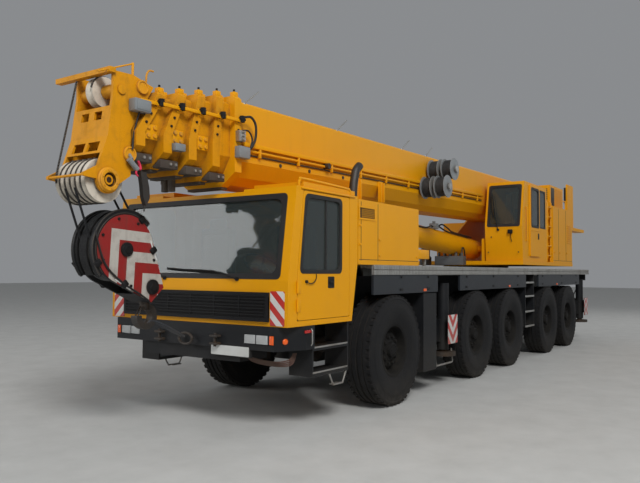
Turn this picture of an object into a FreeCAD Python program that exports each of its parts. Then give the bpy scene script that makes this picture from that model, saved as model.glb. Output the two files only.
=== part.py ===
import FreeCAD, Part
import math
import os
import Sketcher

# Mobile crane on a five-axle carrier, stowed for the road.
# Frame: X forward, Y to the vehicle's left, Z up, millimetres and degrees.
# Origin: on the ground, under the middle of the machine's length and width.
# Stations (names ending in _at) are measured forward from the first axle.

DOC = FreeCAD.newDocument("MobileCrane")

# Name, value, meaning
SIZES = [
    ("length_overall", 14425, "rear end of the deck to the lower sheave guard"),
    ("front_overhang", 3825, "first axle to the lower sheave guard"),
    ("half_width", 1375, "middle to the tyres' outer face"),
    ("fit_gap", 0.3, "running gap of pieces that seat on each other"),
    ("tyre_radius", 685, "tyre 14.00 R25"),
    ("tyre_width", 375, "across the sidewalls"),
    ("rim_radius", 320, "bead seat"),
    ("rim_width", 300, "across the rim flanges"),
    ("rim_wall", 26, "rim barrel"),
    ("disc_inset", 70, "wheel disc inside the rim's outer edge"),
    ("disc_wall", 24, "wheel disc"),
    ("hub_radius", 130, "hub cap on the disc"),
    ("hub_length", 60, "hub cap"),
    ("wheel_faces", 30, "flats round a tyre or rim"),
    ("tread_half", 105, "flat of the tread from its middle"),
    ("shoulder_half", 150, "shoulder from the tread's middle"),
    ("shoulder_drop", 9, "shoulder below the tread"),
    ("wall_radius", 540, "widest part of the sidewall"),
    ("wall_inner", 480, "inner end of the sidewall's flat"),
    ("bead_inset", 20, "tyre's bead inside the rim flange"),
    ("cap_radius", 105, "hub cap's outer face"),
    ("axle_two_at", -2780, "second axle"),
    ("axle_three_at", -4430, "third axle"),
    ("axle_four_at", -6810, "fourth axle"),
    ("axle_five_at", -8460, "fifth axle"),
    ("kingpin_y", 900, "steering axis from the middle"),
    ("beam_radius", 105, "axle tube"),
    ("beam_end_y", 740, "axle tube's end"),
    ("gear_radius", 235, "differential housing"),
    ("gear_width", 260, "differential housing"),
    ("yoke_height", 560, "fork at the axle's end, over its arms"),
    ("yoke_wall", 40, "fork arm"),
    ("yoke_width", 160, "fork along the vehicle"),
    ("yoke_reach", 50, "fork arm past the steering axis"),
    ("boss_radius", 90, "steering boss of the knuckle"),
    ("spindle_radius", 100, "wheel spindle"),
    ("drum_radius", 215, "brake drum"),
    ("drum_width", 130, "brake drum"),
    ("strut_y", 590, "suspension strut from the middle"),
    ("strut_radius", 70, "suspension strut"),
    ("strut_top", 1300, "upper end of the strut"),
    ("frame_half", 450, "chassis girder from the middle"),
    ("frame_bottom", 1020, "underside of the girder"),
    ("frame_top", 1600, "top of the girder"),
    ("frame_nose_at", 620, "where the girder drops below the cab"),
    ("frame_nose_bottom", 800, "girder underside below the bumper"),
    ("tail_at", -10600, "rear end of the deck"),
    ("deck_top", 1745, "walking surface"),
    ("deck_wall", 40, "deck plate"),
    ("deck_edge", 120, "height of the edge strip"),
    ("deck_edge_wall", 30, "edge strip"),
    ("deck_proud", 10, "deck edge and bumper outside the cab's side"),
    ("ladder_front_at", -5430, "deck ladder"),
    ("ladder_rear_at", -5990, "deck ladder"),
    ("ladder_depth", 250, "deck ladder across the vehicle"),
    ("ladder_plate", 20, "ladder's side plates"),
    ("ladder_back", 40, "ladder's back plate"),
    ("step_wall", 30, "ladder step"),
    ("cab_step_rear_at", 1040, "steps below the cab door"),
    ("cab_step_depth", 300, "steps below the cab door, across"),
    ("cab_step_inset", 20, "cab steps inside the cab's side"),
    ("cab_step_plate", 25, "cab step's side plates"),
    ("cab_step_wall", 35, "cab step"),
    ("tool_box_front_at", -870, "box behind the first wheel"),
    ("tool_box_rear_at", -1290, "box behind the first wheel"),
    ("tool_box_bottom", 300, "box behind the first wheel"),
    ("tool_box_top", 1370, "box behind the first wheel"),
    ("tank_front_at", -5260, "tank beside the girder"),
    ("tank_rear_at", -5960, "tank beside the girder"),
    ("tank_bottom", 720, "tank beside the girder"),
    ("tank_top", 1380, "tank beside the girder"),
    ("deck_front_at", 520, "front end of the side walkways"),
    ("walkway", 190, "width of the side walkways beside the hood"),
    ("ring_at", -6200, "slewing centre"),
    ("ring_radius", 680, "slewing ring"),
    ("ring_top", 1790, "top of the fixed ring"),
    ("skirt_bottom", 1385, "lower edge of the side skirts"),
    ("skirt_wall", 30, "side skirt"),
    ("beam_wide", 275, "outrigger beam along the vehicle"),
    ("beam_high", 330, "outrigger beam"),
    ("beam_slack", 5, "outrigger beam to its channel"),
    ("box_wall", 16, "outrigger box"),
    ("box_bottom", 620, "underside of the outrigger boxes"),
    ("box_half", 1075, "outrigger box from the middle"),
    ("front_box_at", -1670, "middle of the front outrigger box"),
    ("rear_box_at", -10080, "middle of the rear outrigger box"),
    ("jack_y", 1185, "jack axis from the middle"),
    ("jack_radius", 88, "jack barrel"),
    ("jack_rod_radius", 60, "jack rod"),
    ("jack_top", 1500, "top of the jack barrel"),
    ("jack_bottom", 520, "bottom of the jack barrel"),
    ("pad_radius", 185, "jack foot"),
    ("pad_height", 60, "jack foot"),
    ("pad_bottom", 430, "underside of the stowed foot"),
    ("stripe_wall", 8, "striped end plate"),
    ("stripe_proud", 10, "striped end plate outside the deck edge"),
    ("stripe_margin", 40, "striped end plate past its beam"),
    ("stripe_arm", 60, "end plate's arm inside its edges"),
    ("stripe_bottom", 610, "striped end plate"),
    ("stripe_top", 1040, "striped end plate"),
    ("cab_front_at", 2205, "cab front below the windscreen"),
    ("cab_rear_at", 880, "cab's rear wall"),
    ("cab_sill_rear_at", 1000, "rear lower corner of the cab"),
    ("cab_bottom", 1105, "underside of the cab"),
    ("cab_waist", 1565, "lower edge of the windscreen's lean"),
    ("cab_top", 2530, "cab roof"),
    ("cab_lean", 135, "windscreen's lean over its height"),
    ("cab_half", 1320, "cab side from the middle"),
    ("cab_wall", 45, "cab wall and door"),
    ("seat_y", 620, "cab seats from the middle"),
    ("seat_half", 240, "cab seat from its middle"),
    ("seat_front_at", 1600, "cab seat"),
    ("seat_rear_at", 1060, "cab seat"),
    ("seat_back", 120, "cab seat's backrest"),
    ("seat_high", 420, "cab seat above the floor"),
    ("seat_back_high", 1050, "backrest above the floor"),
    ("dash_rear_at", 1800, "dashboard"),
    ("dash_drop", 120, "dashboard below the windscreen"),
    ("dash_gap", 30, "dashboard to the cab wall"),
    ("screen_half", 1200, "windscreen from the middle"),
    ("screen_bottom", 1600, "windscreen"),
    ("screen_top", 2440, "windscreen"),
    ("glass_wall", 8, "windscreen pane"),
    ("trough_half", 620, "roof trough from the middle"),
    ("trough_depth", 25, "roof trough"),
    ("pod_height", 60, "raised roof beside the trough"),
    ("pod_front_at", 1900, "front of the raised roof"),
    ("door_front_at", 2045, "door's front edge at the sill"),
    ("door_top_front_at", 1945, "door's front edge at the roof"),
    ("door_rear_at", 1060, "door's rear edge"),
    ("door_bottom", 1165, "door"),
    ("door_top", 2495, "door"),
    ("door_gap", 6, "gap round a door"),
    ("hinge_radius", 11, "door hinge barrel"),
    ("hinge_ahead", 11, "door hinge ahead of the door's edge"),
    ("hinge_high", 120, "door hinge"),
    ("window_bottom", 1640, "door window"),
    ("window_sill", 10, "window above the door's widest line"),
    ("window_margin", 40, "door frame above its window"),
    ("window_rear", 165, "window behind it to the door's rear edge"),
    ("window_front", 45, "window to the door's front edge"),
    ("hood_front_at", 862, "front of the engine hood"),
    ("hood_rear_at", -720, "rear of the engine hood"),
    ("hood_top", 2505, "engine hood"),
    ("hood_wall", 25, "engine hood"),
    ("engine_front_at", 560, "engine block"),
    ("engine_rear_at", -560, "engine block"),
    ("engine_half", 430, "engine block from the middle"),
    ("engine_top", 2380, "engine block"),
    ("bumper_front_at", 2240, "bumper"),
    ("bumper_rear_at", 1750, "bumper"),
    ("bumper_corner_at", 1900, "rear end of the bumper's chamfer"),
    ("bumper_bottom", 860, "bumper"),
    ("bumper_chin", 720, "underside of the bumper's middle"),
    ("bumper_chin_half", 700, "bumper's middle from the middle"),
    ("bumper_flat_half", 1180, "flat front of the bumper"),
    ("grille_half", 1090, "grille from the middle"),
    ("grille_bottom", 1150, "grille"),
    ("grille_top", 1446, "grille"),
    ("grille_wall", 22, "grille"),
    ("grille_slats", 9, "openings of the grille"),
    ("slat_half", 7, "half a grille slat's height"),
    ("grille_frame", 40, "grille's upright frame"),
    ("lamp_bottom", 920, "front lamps"),
    ("lamp_top", 1020, "front lamps"),
    ("lamp_wall", 30, "front lamps"),
    ("platform_bottom", 1815, "underside of the turntable"),
    ("platform_top", 1890, "top of the turntable floor"),
    ("platform_front_at", -5350, "turntable"),
    ("platform_rear_at", -9150, "turntable"),
    ("platform_half", 1290, "turntable from the middle"),
    ("cheek_inner", 462, "inner face of the boom's side plates"),
    ("cheek_wall", 40, "boom side plate"),
    ("pivot_at", -8150, "boom foot pin"),
    ("pivot_z", 3100, "boom foot pin"),
    ("pivot_radius", 90, "boom foot pin"),
    ("crane_cab_front_at", -5350, "crane cab"),
    ("crane_cab_rear_at", -7050, "crane cab"),
    ("crane_cab_inner", 530, "crane cab's inner side"),
    ("crane_cab_outer", 1270, "crane cab's outer side"),
    ("crane_cab_bottom", 1890, "crane cab"),
    ("crane_cab_top", 3460, "crane cab"),
    ("crane_cab_wall", 35, "crane cab wall"),
    ("crane_door_front_at", -5810, "sliding door"),
    ("crane_door_rear_at", -6440, "sliding door"),
    ("crane_door_bottom", 1990, "sliding door"),
    ("crane_door_top", 3420, "sliding door"),
    ("crane_door_wall", 30, "sliding door"),
    ("crane_window_bottom", 2580, "crane cab windows"),
    ("crane_window_top", 3380, "crane cab windows"),
    ("crane_sill_back", 60, "cab front's foot behind its widest line"),
    ("crane_lean", 170, "crane windscreen's lean"),
    ("crane_frame", 60, "frame round a crane cab window"),
    ("crane_jamb", 30, "door past its doorway"),
    ("crane_seat_rear_at", -6850, "operator's seat"),
    ("crane_seat_front_at", -6250, "operator's seat"),
    ("crane_seat_half", 220, "operator's seat from its middle"),
    ("crane_seat_high", 450, "operator's seat"),
    ("crane_seat_back", 130, "operator's backrest"),
    ("crane_seat_back_high", 1100, "operator's backrest"),
    ("housing_front_at", -7480, "power unit housing"),
    ("housing_rear_at", -9120, "power unit housing"),
    ("housing_inner", 530, "power unit housing"),
    ("housing_outer", 1290, "power unit housing"),
    ("housing_top", 3130, "power unit housing"),
    ("right_housing_drop", 300, "right housing below the left one"),
    ("unit_front_at", -7950, "cooler unit on the housing"),
    ("unit_rear_at", -9050, "cooler unit on the housing"),
    ("unit_outer", 1100, "cooler unit from the middle"),
    ("unit_inner", 640, "cooler unit from the middle"),
    ("unit_top", 3660, "cooler unit"),
    ("tail_rail_rear_at", -10340, "rail behind the housing"),
    ("tail_rail_bottom", 2680, "rail behind the housing"),
    ("tail_rail_high", 70, "rail behind the housing"),
    ("tail_plate_front_at", -9500, "upright plate on the rail"),
    ("tail_plate_rear_at", -10050, "upright plate on the rail"),
    ("tail_plate_top", 3840, "upright plate on the rail"),
    ("tail_plate_wall", 40, "upright plate on the rail"),
    ("winch_at", -9300, "hoist winch"),
    ("winch_z", 2450, "hoist winch"),
    ("winch_radius", 230, "hoist drum"),
    ("winch_flange", 300, "hoist drum's flanges"),
    ("winch_half", 380, "hoist drum"),
    ("boom_droop", 1.12, "degrees, boom nose below level"),
    ("boom_axis_up", 180, "boom centreline above the foot pin"),
    ("boom_half", 430, "base section, half its width"),
    ("boom_high", 920, "base section, height"),
    ("boom_wall", 10, "boom plate"),
    ("boom_step", 34, "each section inside the one before, per side"),
    ("facet_low", 250, "height of the slanted lower sides"),
    ("facet_mid", 85, "height of the lower knuckle line"),
    ("facet_in", 95, "knuckle line inside the side"),
    ("facet_floor", 200, "flat floor inside the side"),
    ("boom_corner", 30, "upper corner cut"),
    ("boom_tail", 450, "base section behind the foot pin"),
    ("collar_long", 110, "collar at a section's front"),
    ("collar_proud", 34, "collar outside its section"),
    ("collar_one", 10200, "base collar's front face from the foot pin"),
    ("collar_pitch", 310, "from collar to collar"),
    ("collar_lean", 70, "each collar's upper half leans back this much more than the last"),
    ("collar_knee", 110, "height of the collars' bend above the foot pin"),
    ("collar_side", 150, "height of the collars' slanted lower sides"),
    ("section_tail", 250, "first section's tail from the foot pin"),
    ("tail_pitch", 160, "from tail to tail"),
    ("head_half", 275, "boom head's side plates, outside"),
    ("head_wall", 30, "boom head's side plates"),
    ("head_gap", 20, "head plates ahead of the last collar"),
    ("head_block", 40, "bulkhead at the last tube's end"),
    ("head_shelf", 300, "floor under the upper sheave"), ("head_step", 11380, "wall behind the upper sheave"),
    ("head_low", 120, "head plates' rear edge, down to this far below the foot pin"),
    ("head_shoulder", 575, "rear top corner of the head plates"),
    ("head_post_x", 11430, "highest corner of the head plates"),
    ("head_top", 645, "highest corner of the head plates"),
    ("head_nose_x", 11665, "front top corner of the head plates"),
    ("head_nose_top", 640, "front top corner"),
    ("head_nose_low", 440, "top of the slanted front edge"),
    ("head_knee_x", 11724, "bend of the front edge"),
    ("head_knee_z", 24, "bend of the front edge"),
    ("head_chin_x", 11831, "foot of the front edge"),
    ("head_chin_z", -263, "foot of the front edge"),
    ("head_boss", 125, "round end of the plates about the lower shaft"),
    ("front_plate", 25, "plate across the head's front"),
    ("front_plate_top", 310, "plate across the head's front"),
    ("front_plate_low", -140, "plate across the head's front"),
    ("guard_reach", 59, "sheave guard rod ahead of the sheaves"),
    ("guard_radius", 12, "sheave guard rod"),
    ("guard_z", -357, "sheave guard rod"),
    ("guard_arm", 14, "half height of the guard's arms at the rod"),
    ("nose_bar_inner", 300, "nose bar on the left of the middle"),
    ("nose_bar_outer", 520, "nose bar on the right of the middle"),
    ("nose_bar_long", 60, "nose bar ahead of the plates"), ("nose_bar_high", 20, "nose bar above the corner"),
    ("nose_bar_low", 28, "nose bar below the corner"), ("nose_bar_sunk", 10, "nose bar behind the plates' edge"),
    ("low_sheave_x", 11720, "lower sheave shaft from the foot pin"),
    ("low_sheave_z", -386, "lower sheave shaft from the foot pin"),
    ("low_sheave_radius", 205, "lower sheaves"),
    ("low_pack_half", 225, "lower sheave pack"),
    ("top_sheave_x", 11575, "upper sheave shaft from the foot pin"),
    ("top_sheave_z", 476, "upper sheave shaft from the foot pin"),
    ("top_sheave_radius", 150, "upper sheaves"),
    ("top_pack_half", 60, "upper sheave pack"),
    ("shaft_radius", 45, "sheave shafts"),
    ("groove_depth", 22, "rope groove"),
    ("low_sheaves", 6, "sheaves in the lower pack"),
    ("luff_foot_at", -5900, "luffing cylinder's lower pin"),
    ("luff_foot_z", 2150, "luffing cylinder's lower pin"),
    ("luff_eye_at", -1100, "rod eye"),
    ("luff_eye_z", 2450, "rod eye"),
    ("luff_barrel_radius", 200, "luffing cylinder"),
    ("luff_neck", 709, "barrel's end from the rod's eye when closed"),
    ("luff_rod_radius", 120, "luffing rod"),
    ("luff_rod_inside", 450, "rod's inner end from the lower pin"),
    ("luff_pin_radius", 70, "lower pin"),
    ("lug_inner", 130, "rod eye lugs, inner face"),
    ("lug_wall", 45, "rod eye lug"),
    ("hook_sheave_at", 3235, "hook block's sheaves"),
    ("hook_sheave_z", 1860, "hook block's sheaves"),
    ("hook_sheave_radius", 300, "hook block's sheaves"),
    ("hook_lean", 42, "degrees, block's lean towards the bumper"),
    ("hook_half", 150, "hook block, half its width"),
    ("hook_cheek", 28, "hook block's side plate"),
    ("hook_drop", 600, "sheave centre to the block's lower end"),
    ("hook_rim", 340, "round top of the hook block's plates"),
    ("hook_guard", 50, "rope guard outside the plates"),
    ("hook_foot", 110, "half width of the plates' lower end"),
    ("hook_pin_drop", 550, "sheave centre to the hook's swivel"),
    ("hook_shank_up", 70, "shank above the swivel's centre"),
    ("hook_neck", 126, "swivel's centre to the hook's bowl"),
    ("rope_radius", 11, "hoist rope"),
    ("rope_lane", 70, "rope falls from the middle"),
    ("hook_shank", 50, "hook's shank radius"),
    ("hook_bow", 130, "hook's bowl, outer radius"),
    ("hook_throat", 68, "hook's bowl, inner radius"),
    ("hook_wall", 90, "hook's thickness"),
]


class Size:
    """A length that keeps the sheet expression it comes from."""

    def __init__(self, value, text):
        self.value = float(value)
        self.text = text

    def __add__(self, other):
        other = as_size(other)
        return Size(self.value + other.value, f"({self.text} + {other.text})")

    def __sub__(self, other):
        other = as_size(other)
        return Size(self.value - other.value, f"({self.text} - {other.text})")

    def __mul__(self, other):
        other = as_size(other)
        return Size(self.value * other.value, f"({self.text} * {other.text})")

    def __truediv__(self, other):
        other = as_size(other)
        return Size(self.value / other.value, f"({self.text} / {other.text})")

    def __radd__(self, other):
        return as_size(other) + self

    def __rsub__(self, other):
        return as_size(other) - self

    def __rmul__(self, other):
        return as_size(other) * self

    def __neg__(self):
        return as_size(0) - self


def as_size(number):
    """A Size made of a plain number, or the Size itself."""
    if isinstance(number, Size):
        return number
    return Size(number, f"({float(number)})")


def across_corner(run, rise):
    """Length of a slant from its two legs."""
    text = f"sqrt(({run.text}) ^ 2 + ({rise.text}) ^ 2)"
    return Size(math.hypot(run.value, rise.value), text)


def slope_of(rise, run):
    """Slope of a slant in degrees."""
    return Size(math.degrees(math.atan2(rise.value, run.value)), f"(atan(({rise.text}) / ({run.text})) / 1 deg)")


class Sheet:
    """The driving dimensions: one spreadsheet row each, read by name."""

    def __init__(self, rows):
        sheet = DOC.addObject("Spreadsheet::Sheet", "Sizes")
        for row, (name, value, meaning) in enumerate(rows, start=1):
            sheet.set(f"A{row}", name)
            sheet.set(f"B{row}", str(value))
            sheet.set(f"C{row}", meaning)
            sheet.setAlias(f"B{row}", name)
            setattr(self, name, Size(value, f"Sizes.{name}"))


S = Sheet(SIZES)
DOC.recompute()
AXLE_ONE = S.length_overall / 2 - S.front_overhang
DECK_HALF = S.cab_half + S.deck_proud
SIDES = [("left", 1), ("right", -1)]
NODES = []


def bind(thing, prop, size):
    """Tie a property to the sheet."""
    thing.setExpression(prop, as_size(size).text)


def place(thing, x=0, y=0, z=0):
    """Put a sub-part at x, y, z by expressions."""
    bind(thing, "Placement.Base.x", x)
    bind(thing, "Placement.Base.y", y)
    bind(thing, "Placement.Base.z", z)
    return thing


def pitch(thing, degrees):
    """Turn a sub-part nose down about Y."""
    thing.Placement.Rotation = FreeCAD.Rotation(FreeCAD.Vector(0, 1, 0), 1)
    bind(thing, "Placement.Rotation.Angle", degrees)
    return thing


def rect(low_u, high_u, low_v, high_v):
    """Corners of a rectangle in a sketch."""
    return [(low_u, low_v), (high_u, low_v), (high_u, high_v), (low_u, high_v)]


def ring(u, v, radius):
    """A circle in a sketch."""
    return (u, v, radius)


class Piece:
    """One sub-part, made as a body from padded, cut and revolved outlines."""

    def __init__(self, label):
        self.body = DOC.addObject("PartDesign::Body", label)
        self.body.Label = label
        self.solid_volume = 0.0
        self.count = 0

    def origin(self, role):
        """The body's own origin plane or axis of a role."""
        for feature in self.body.Origin.OriginFeatures:
            if feature.Role == role:
                return feature
        raise ValueError(role)

    def sketch(self, role, loops, offset=0):
        """A sketch of closed outlines, each corner tied to the sheet."""
        self.count += 1
        sketch = self.body.newObject("Sketcher::SketchObject", f"{self.body.Name}_outline_{self.count}")
        sketch.AttachmentSupport = [(self.origin(role), "")]
        sketch.MapMode = "FlatFace"
        if isinstance(offset, Size) or offset:
            bind(sketch, "AttachmentOffset.Base.z", offset)
        for loop in loops:
            if isinstance(loop, tuple):
                self.circle(sketch, loop)
            else:
                self.polygon(sketch, loop)
        return sketch

    def polygon(self, sketch, corners):
        """Straight edges round the given corners."""
        points = [FreeCAD.Vector(as_size(u).value, as_size(v).value, 0) for u, v in corners]
        first = sketch.GeometryCount
        edges = [Part.LineSegment(points[i], points[(i + 1) % len(points)]) for i in range(len(points))]
        sketch.addGeometry(edges, False)
        for index, (u, v) in enumerate(corners):
            here = first + index
            following = first + (index + 1) % len(corners)
            sketch.addConstraint(Sketcher.Constraint("Coincident", here, 2, following, 1))
            self.pin(sketch, here, 1, u, v)

    def circle(self, sketch, loop):
        """A full circle with its centre and radius tied to the sheet."""
        u, v, radius = loop
        centre = FreeCAD.Vector(as_size(u).value, as_size(v).value, 0)
        here = sketch.addGeometry(Part.Circle(centre, FreeCAD.Vector(0, 0, 1), as_size(radius).value), False)
        self.pin(sketch, here, 3, u, v)
        row = sketch.addConstraint(Sketcher.Constraint("Radius", here, as_size(radius).value))
        bind(sketch, f"Constraints[{row}]", radius)

    def pin(self, sketch, edge, end, u, v):
        """Tie one point's two coordinates to the sheet."""
        for kind, size in (("DistanceX", u), ("DistanceY", v)):
            value = as_size(size).value
            row = sketch.addConstraint(Sketcher.Constraint(kind, -1, 1, edge, end, value))
            bind(sketch, f"Constraints[{row}]", size)

    def pad(self, role, loops, length, offset=0, middle=False):
        """Material added square to an origin plane."""
        pad = self.body.newObject("PartDesign::Pad", f"{self.body.Name}_pad_{self.count + 1}")
        pad.Profile = self.sketch(role, loops, offset)
        bind(pad, "Length", length)
        pad.Midplane = middle
        self.body.Tip = pad
        return self

    def cut(self, role, loops, length, offset=0):
        """Material cut away on both sides of the sketch's plane."""
        pocket = self.body.newObject("PartDesign::Pocket", f"{self.body.Name}_cut_{self.count + 1}")
        pocket.Profile = self.sketch(role, loops, offset)
        pocket.Midplane = True
        bind(pocket, "Length", length)
        self.body.Tip = pocket
        return self

    def turn(self, role, loops, axis):
        """Material revolved about an origin axis."""
        turned = self.body.newObject("PartDesign::Revolution", f"{self.body.Name}_turn_{self.count + 1}")
        sketch = self.sketch(role, loops)
        turned.Profile = sketch
        turned.ReferenceAxis = (self.origin(axis), [""])
        turned.Angle = 360
        self.body.Tip = turned
        return self

    def at(self, x=0, y=0, z=0, lean=None):
        """Place the body, turned nose down by lean where given."""
        if lean is not None:
            pitch(self.body, lean)
        place(self.body, x, y, z)
        return self.body


def box(x, y, z):
    """A block between three pairs of limits."""
    block = DOC.addObject("Part::Box", "Block")
    bind(block, "Length", x[1] - x[0])
    bind(block, "Width", y[1] - y[0])
    bind(block, "Height", z[1] - z[0])
    return place(block, x[0], y[0], z[0])


def post(x, y, z, radius):
    """An upright cylinder between two heights."""
    rod = DOC.addObject("Part::Cylinder", "Post")
    bind(rod, "Radius", radius)
    bind(rod, "Height", z[1] - z[0])
    return place(rod, x, y, z[0])


def bar(x, y, z, radius):
    """A cylinder across the vehicle between two sides."""
    rod = DOC.addObject("Part::Cylinder", "Bar")
    bind(rod, "Radius", radius)
    bind(rod, "Height", y[1] - y[0])
    rod.Placement.Rotation = FreeCAD.Rotation(FreeCAD.Vector(1, 0, 0), -90)
    return place(rod, x, y[0], z)





def fuse(parts):
    """Pieces joined into one solid."""
    joined = DOC.addObject("Part::MultiFuse", "Joined")
    joined.Shapes = parts
    joined.Refine = True
    return joined


def less(base, tool):
    """A piece with another cut out of it."""
    cut = DOC.addObject("Part::Cut", "Cut")
    cut.Base = base
    cut.Tool = tool
    return cut


def group(parts):
    """Pieces of one node that don't touch."""
    together = DOC.addObject("Part::Compound", "Together")
    together.Links = parts
    return together


def node(label, thing):
    """Name a finished sub-part and list it for its file."""
    if isinstance(thing, Piece):
        thing = thing.body
    thing.Label = label
    NODES.append(thing)
    return thing


def span(middle, half):
    """The pair of limits about a middle."""
    return (middle - half, middle + half)


def wide(half):
    """The pair of limits about the vehicle's middle plane."""
    return (-half, as_size(half))


def beside(side, inner, outer):
    """The pair of limits on one side of the middle plane, in rising order."""
    if side > 0:
        return (as_size(inner), as_size(outer))
    return (-as_size(outer), -as_size(inner))


# Station of each axle, and how its wheels steer: the first leads
AXLES = [
    (1, as_size(0), True),
    (2, S.axle_two_at, True),
    (3, S.axle_three_at, False),
    (4, S.axle_four_at, True),
    (5, S.axle_five_at, True),
]
HUB_Z = S.tyre_radius
WHEEL_Y = S.half_width - S.tyre_width / 2
DISC_OUT = S.rim_width / 2 - S.disc_inset


FACES = int(S.wheel_faces.value)
FLAT_OUT = 1 / math.cos(math.pi / FACES)


def faceted(bands):
    """A solid about Y through many-sided bands, each a radius to its flats and a place along Y."""
    rings = []
    for radius, along in bands:
        band = DOC.addObject("Part::RegularPolygon", "Band")
        band.Polygon = FACES
        bind(band, "Circumradius", radius * FLAT_OUT)
        upright = FreeCAD.Rotation(FreeCAD.Vector(1, 0, 0), 90)
        band.Placement.Rotation = upright * FreeCAD.Rotation(FreeCAD.Vector(0, 0, 1), 90 - 180 / FACES)
        rings.append(place(band, 0, along))
    solid = DOC.addObject("Part::Loft", "Faceted")
    solid.Sections = rings
    solid.Solid = True
    solid.Ruled = True
    return solid


def make_wheel(label, side, station):
    """Tyre hollow down to its beads, and its dished rim."""
    half = S.tyre_width / 2
    bead = S.rim_width / 2
    seat = S.rim_radius + S.fit_gap
    shoulder = S.tyre_radius - S.shoulder_drop
    outside = faceted([
        (S.wall_radius, -half), (shoulder, -S.shoulder_half), (S.tyre_radius, -S.tread_half),
        (S.tyre_radius, S.tread_half), (shoulder, S.shoulder_half), (S.wall_radius, half),
    ])
    bead_edge = bead - S.bead_inset
    inside = faceted([(S.wall_inner, -half), (seat, -bead_edge), (seat, bead_edge), (S.wall_inner, half)])
    centre = (AXLE_ONE + station, side * WHEEL_Y, HUB_Z)
    tyre = place(less(outside, inside), *centre)
    outer = side * DISC_OUT
    inner = outer - side * S.disc_wall
    bowl = S.rim_radius - S.rim_wall
    drum = faceted([(S.rim_radius, -bead), (S.rim_radius, bead)])
    hollow_out = faceted([(bowl, outer), (bowl, side * (bead + S.rim_wall))])
    hollow_in = faceted([(bowl, inner), (bowl, -side * (bead + S.rim_wall))])
    cap = faceted([(S.hub_radius, inner), (S.hub_radius, outer), (S.cap_radius, outer + side * S.hub_length)])
    rim = place(fuse([less(less(drum, hollow_out), hollow_in), cap]), *centre)
    return node(label, group([tyre, rim]))


def make_knuckle(label, side, station):
    """Steering boss, spindle and brake drum."""
    centre = AXLE_ONE + station
    arm = S.yoke_height / 2 - S.yoke_wall - S.fit_gap
    spindle_end = WHEEL_Y + DISC_OUT - S.disc_wall - S.fit_gap
    boss = post(centre, side * S.kingpin_y, span(HUB_Z, arm), S.boss_radius)
    spindle = bar(centre, beside(side, S.kingpin_y, spindle_end), HUB_Z, S.spindle_radius)
    drum_from = S.half_width - S.tyre_width + 20
    drum = bar(centre, beside(side, drum_from, drum_from + S.drum_width), HUB_Z, S.drum_radius)
    return node(label, fuse([boss, spindle, drum]))


def make_axle(station, steered):
    """Axle tube with its differential, end forks and suspension struts."""
    centre = AXLE_ONE + station
    parts = [
        bar(centre, wide(S.beam_end_y), HUB_Z, S.beam_radius),
        bar(centre, wide(S.gear_width / 2), HUB_Z, S.gear_radius),
    ]
    fork_x = span(centre, S.yoke_width / 2)
    reach = S.kingpin_y + S.yoke_reach
    top = HUB_Z + S.yoke_height / 2
    low = HUB_Z - S.yoke_height / 2
    for _, side in SIDES:
        parts.append(box(fork_x, beside(side, S.beam_end_y - S.yoke_wall, S.beam_end_y), (low, top)))
        parts.append(box(fork_x, beside(side, S.beam_end_y - S.yoke_wall, reach), (top - S.yoke_wall, top)))
        parts.append(box(fork_x, beside(side, S.beam_end_y - S.yoke_wall, reach), (low, low + S.yoke_wall)))
        parts.append(post(centre, side * S.strut_y, (HUB_Z, S.strut_top), S.strut_radius))
        bracket = beside(side, S.frame_half, S.strut_y + S.strut_radius)
        parts.append(box(span(centre, S.strut_radius), bracket, (S.strut_top - 120, S.strut_top)))
        if not steered:
            hub_end = WHEEL_Y + DISC_OUT - S.disc_wall - S.fit_gap
            parts.append(bar(centre, beside(side, S.beam_end_y, hub_end), HUB_Z, S.spindle_radius))
            drum_from = S.half_width - S.tyre_width + 20
            drum = beside(side, drum_from, drum_from + S.drum_width)
            parts.append(bar(centre, drum, HUB_Z, S.drum_radius))
    return fuse(parts)


def make_running_gear():
    """Axles, knuckles and wheels."""
    node("axle_beams", group([make_axle(station, steered) for _, station, steered in AXLES]))
    for number, station, steered in AXLES:
        for name, side in SIDES:
            make_wheel(f"wheel_{number}_{name}", side, station)
            if steered:
                make_knuckle(f"knuckle_{number}_{name}", side, station)


def make_chassis():
    """Box girder with the fixed half of the slewing ring."""
    girder = Piece("chassis_frame")
    front = S.bumper_rear_at - S.fit_gap
    nose_top = S.cab_bottom - S.fit_gap
    outline = [
        (S.tail_at, S.frame_bottom), (S.frame_nose_at, S.frame_bottom),
        (S.frame_nose_at + 180, S.frame_nose_bottom), (front, S.frame_nose_bottom),
        (front, nose_top), (S.frame_nose_at + 180, nose_top),
        (S.frame_nose_at, S.frame_top), (S.tail_at, S.frame_top),
    ]
    girder.pad("XZ_Plane", [outline], 2 * S.frame_half, middle=True)
    girder.pad("XY_Plane", [ring(S.ring_at, 0, S.ring_radius)], S.ring_top - S.frame_top, S.frame_top)
    node("chassis_frame", girder.at(AXLE_ONE))


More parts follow.
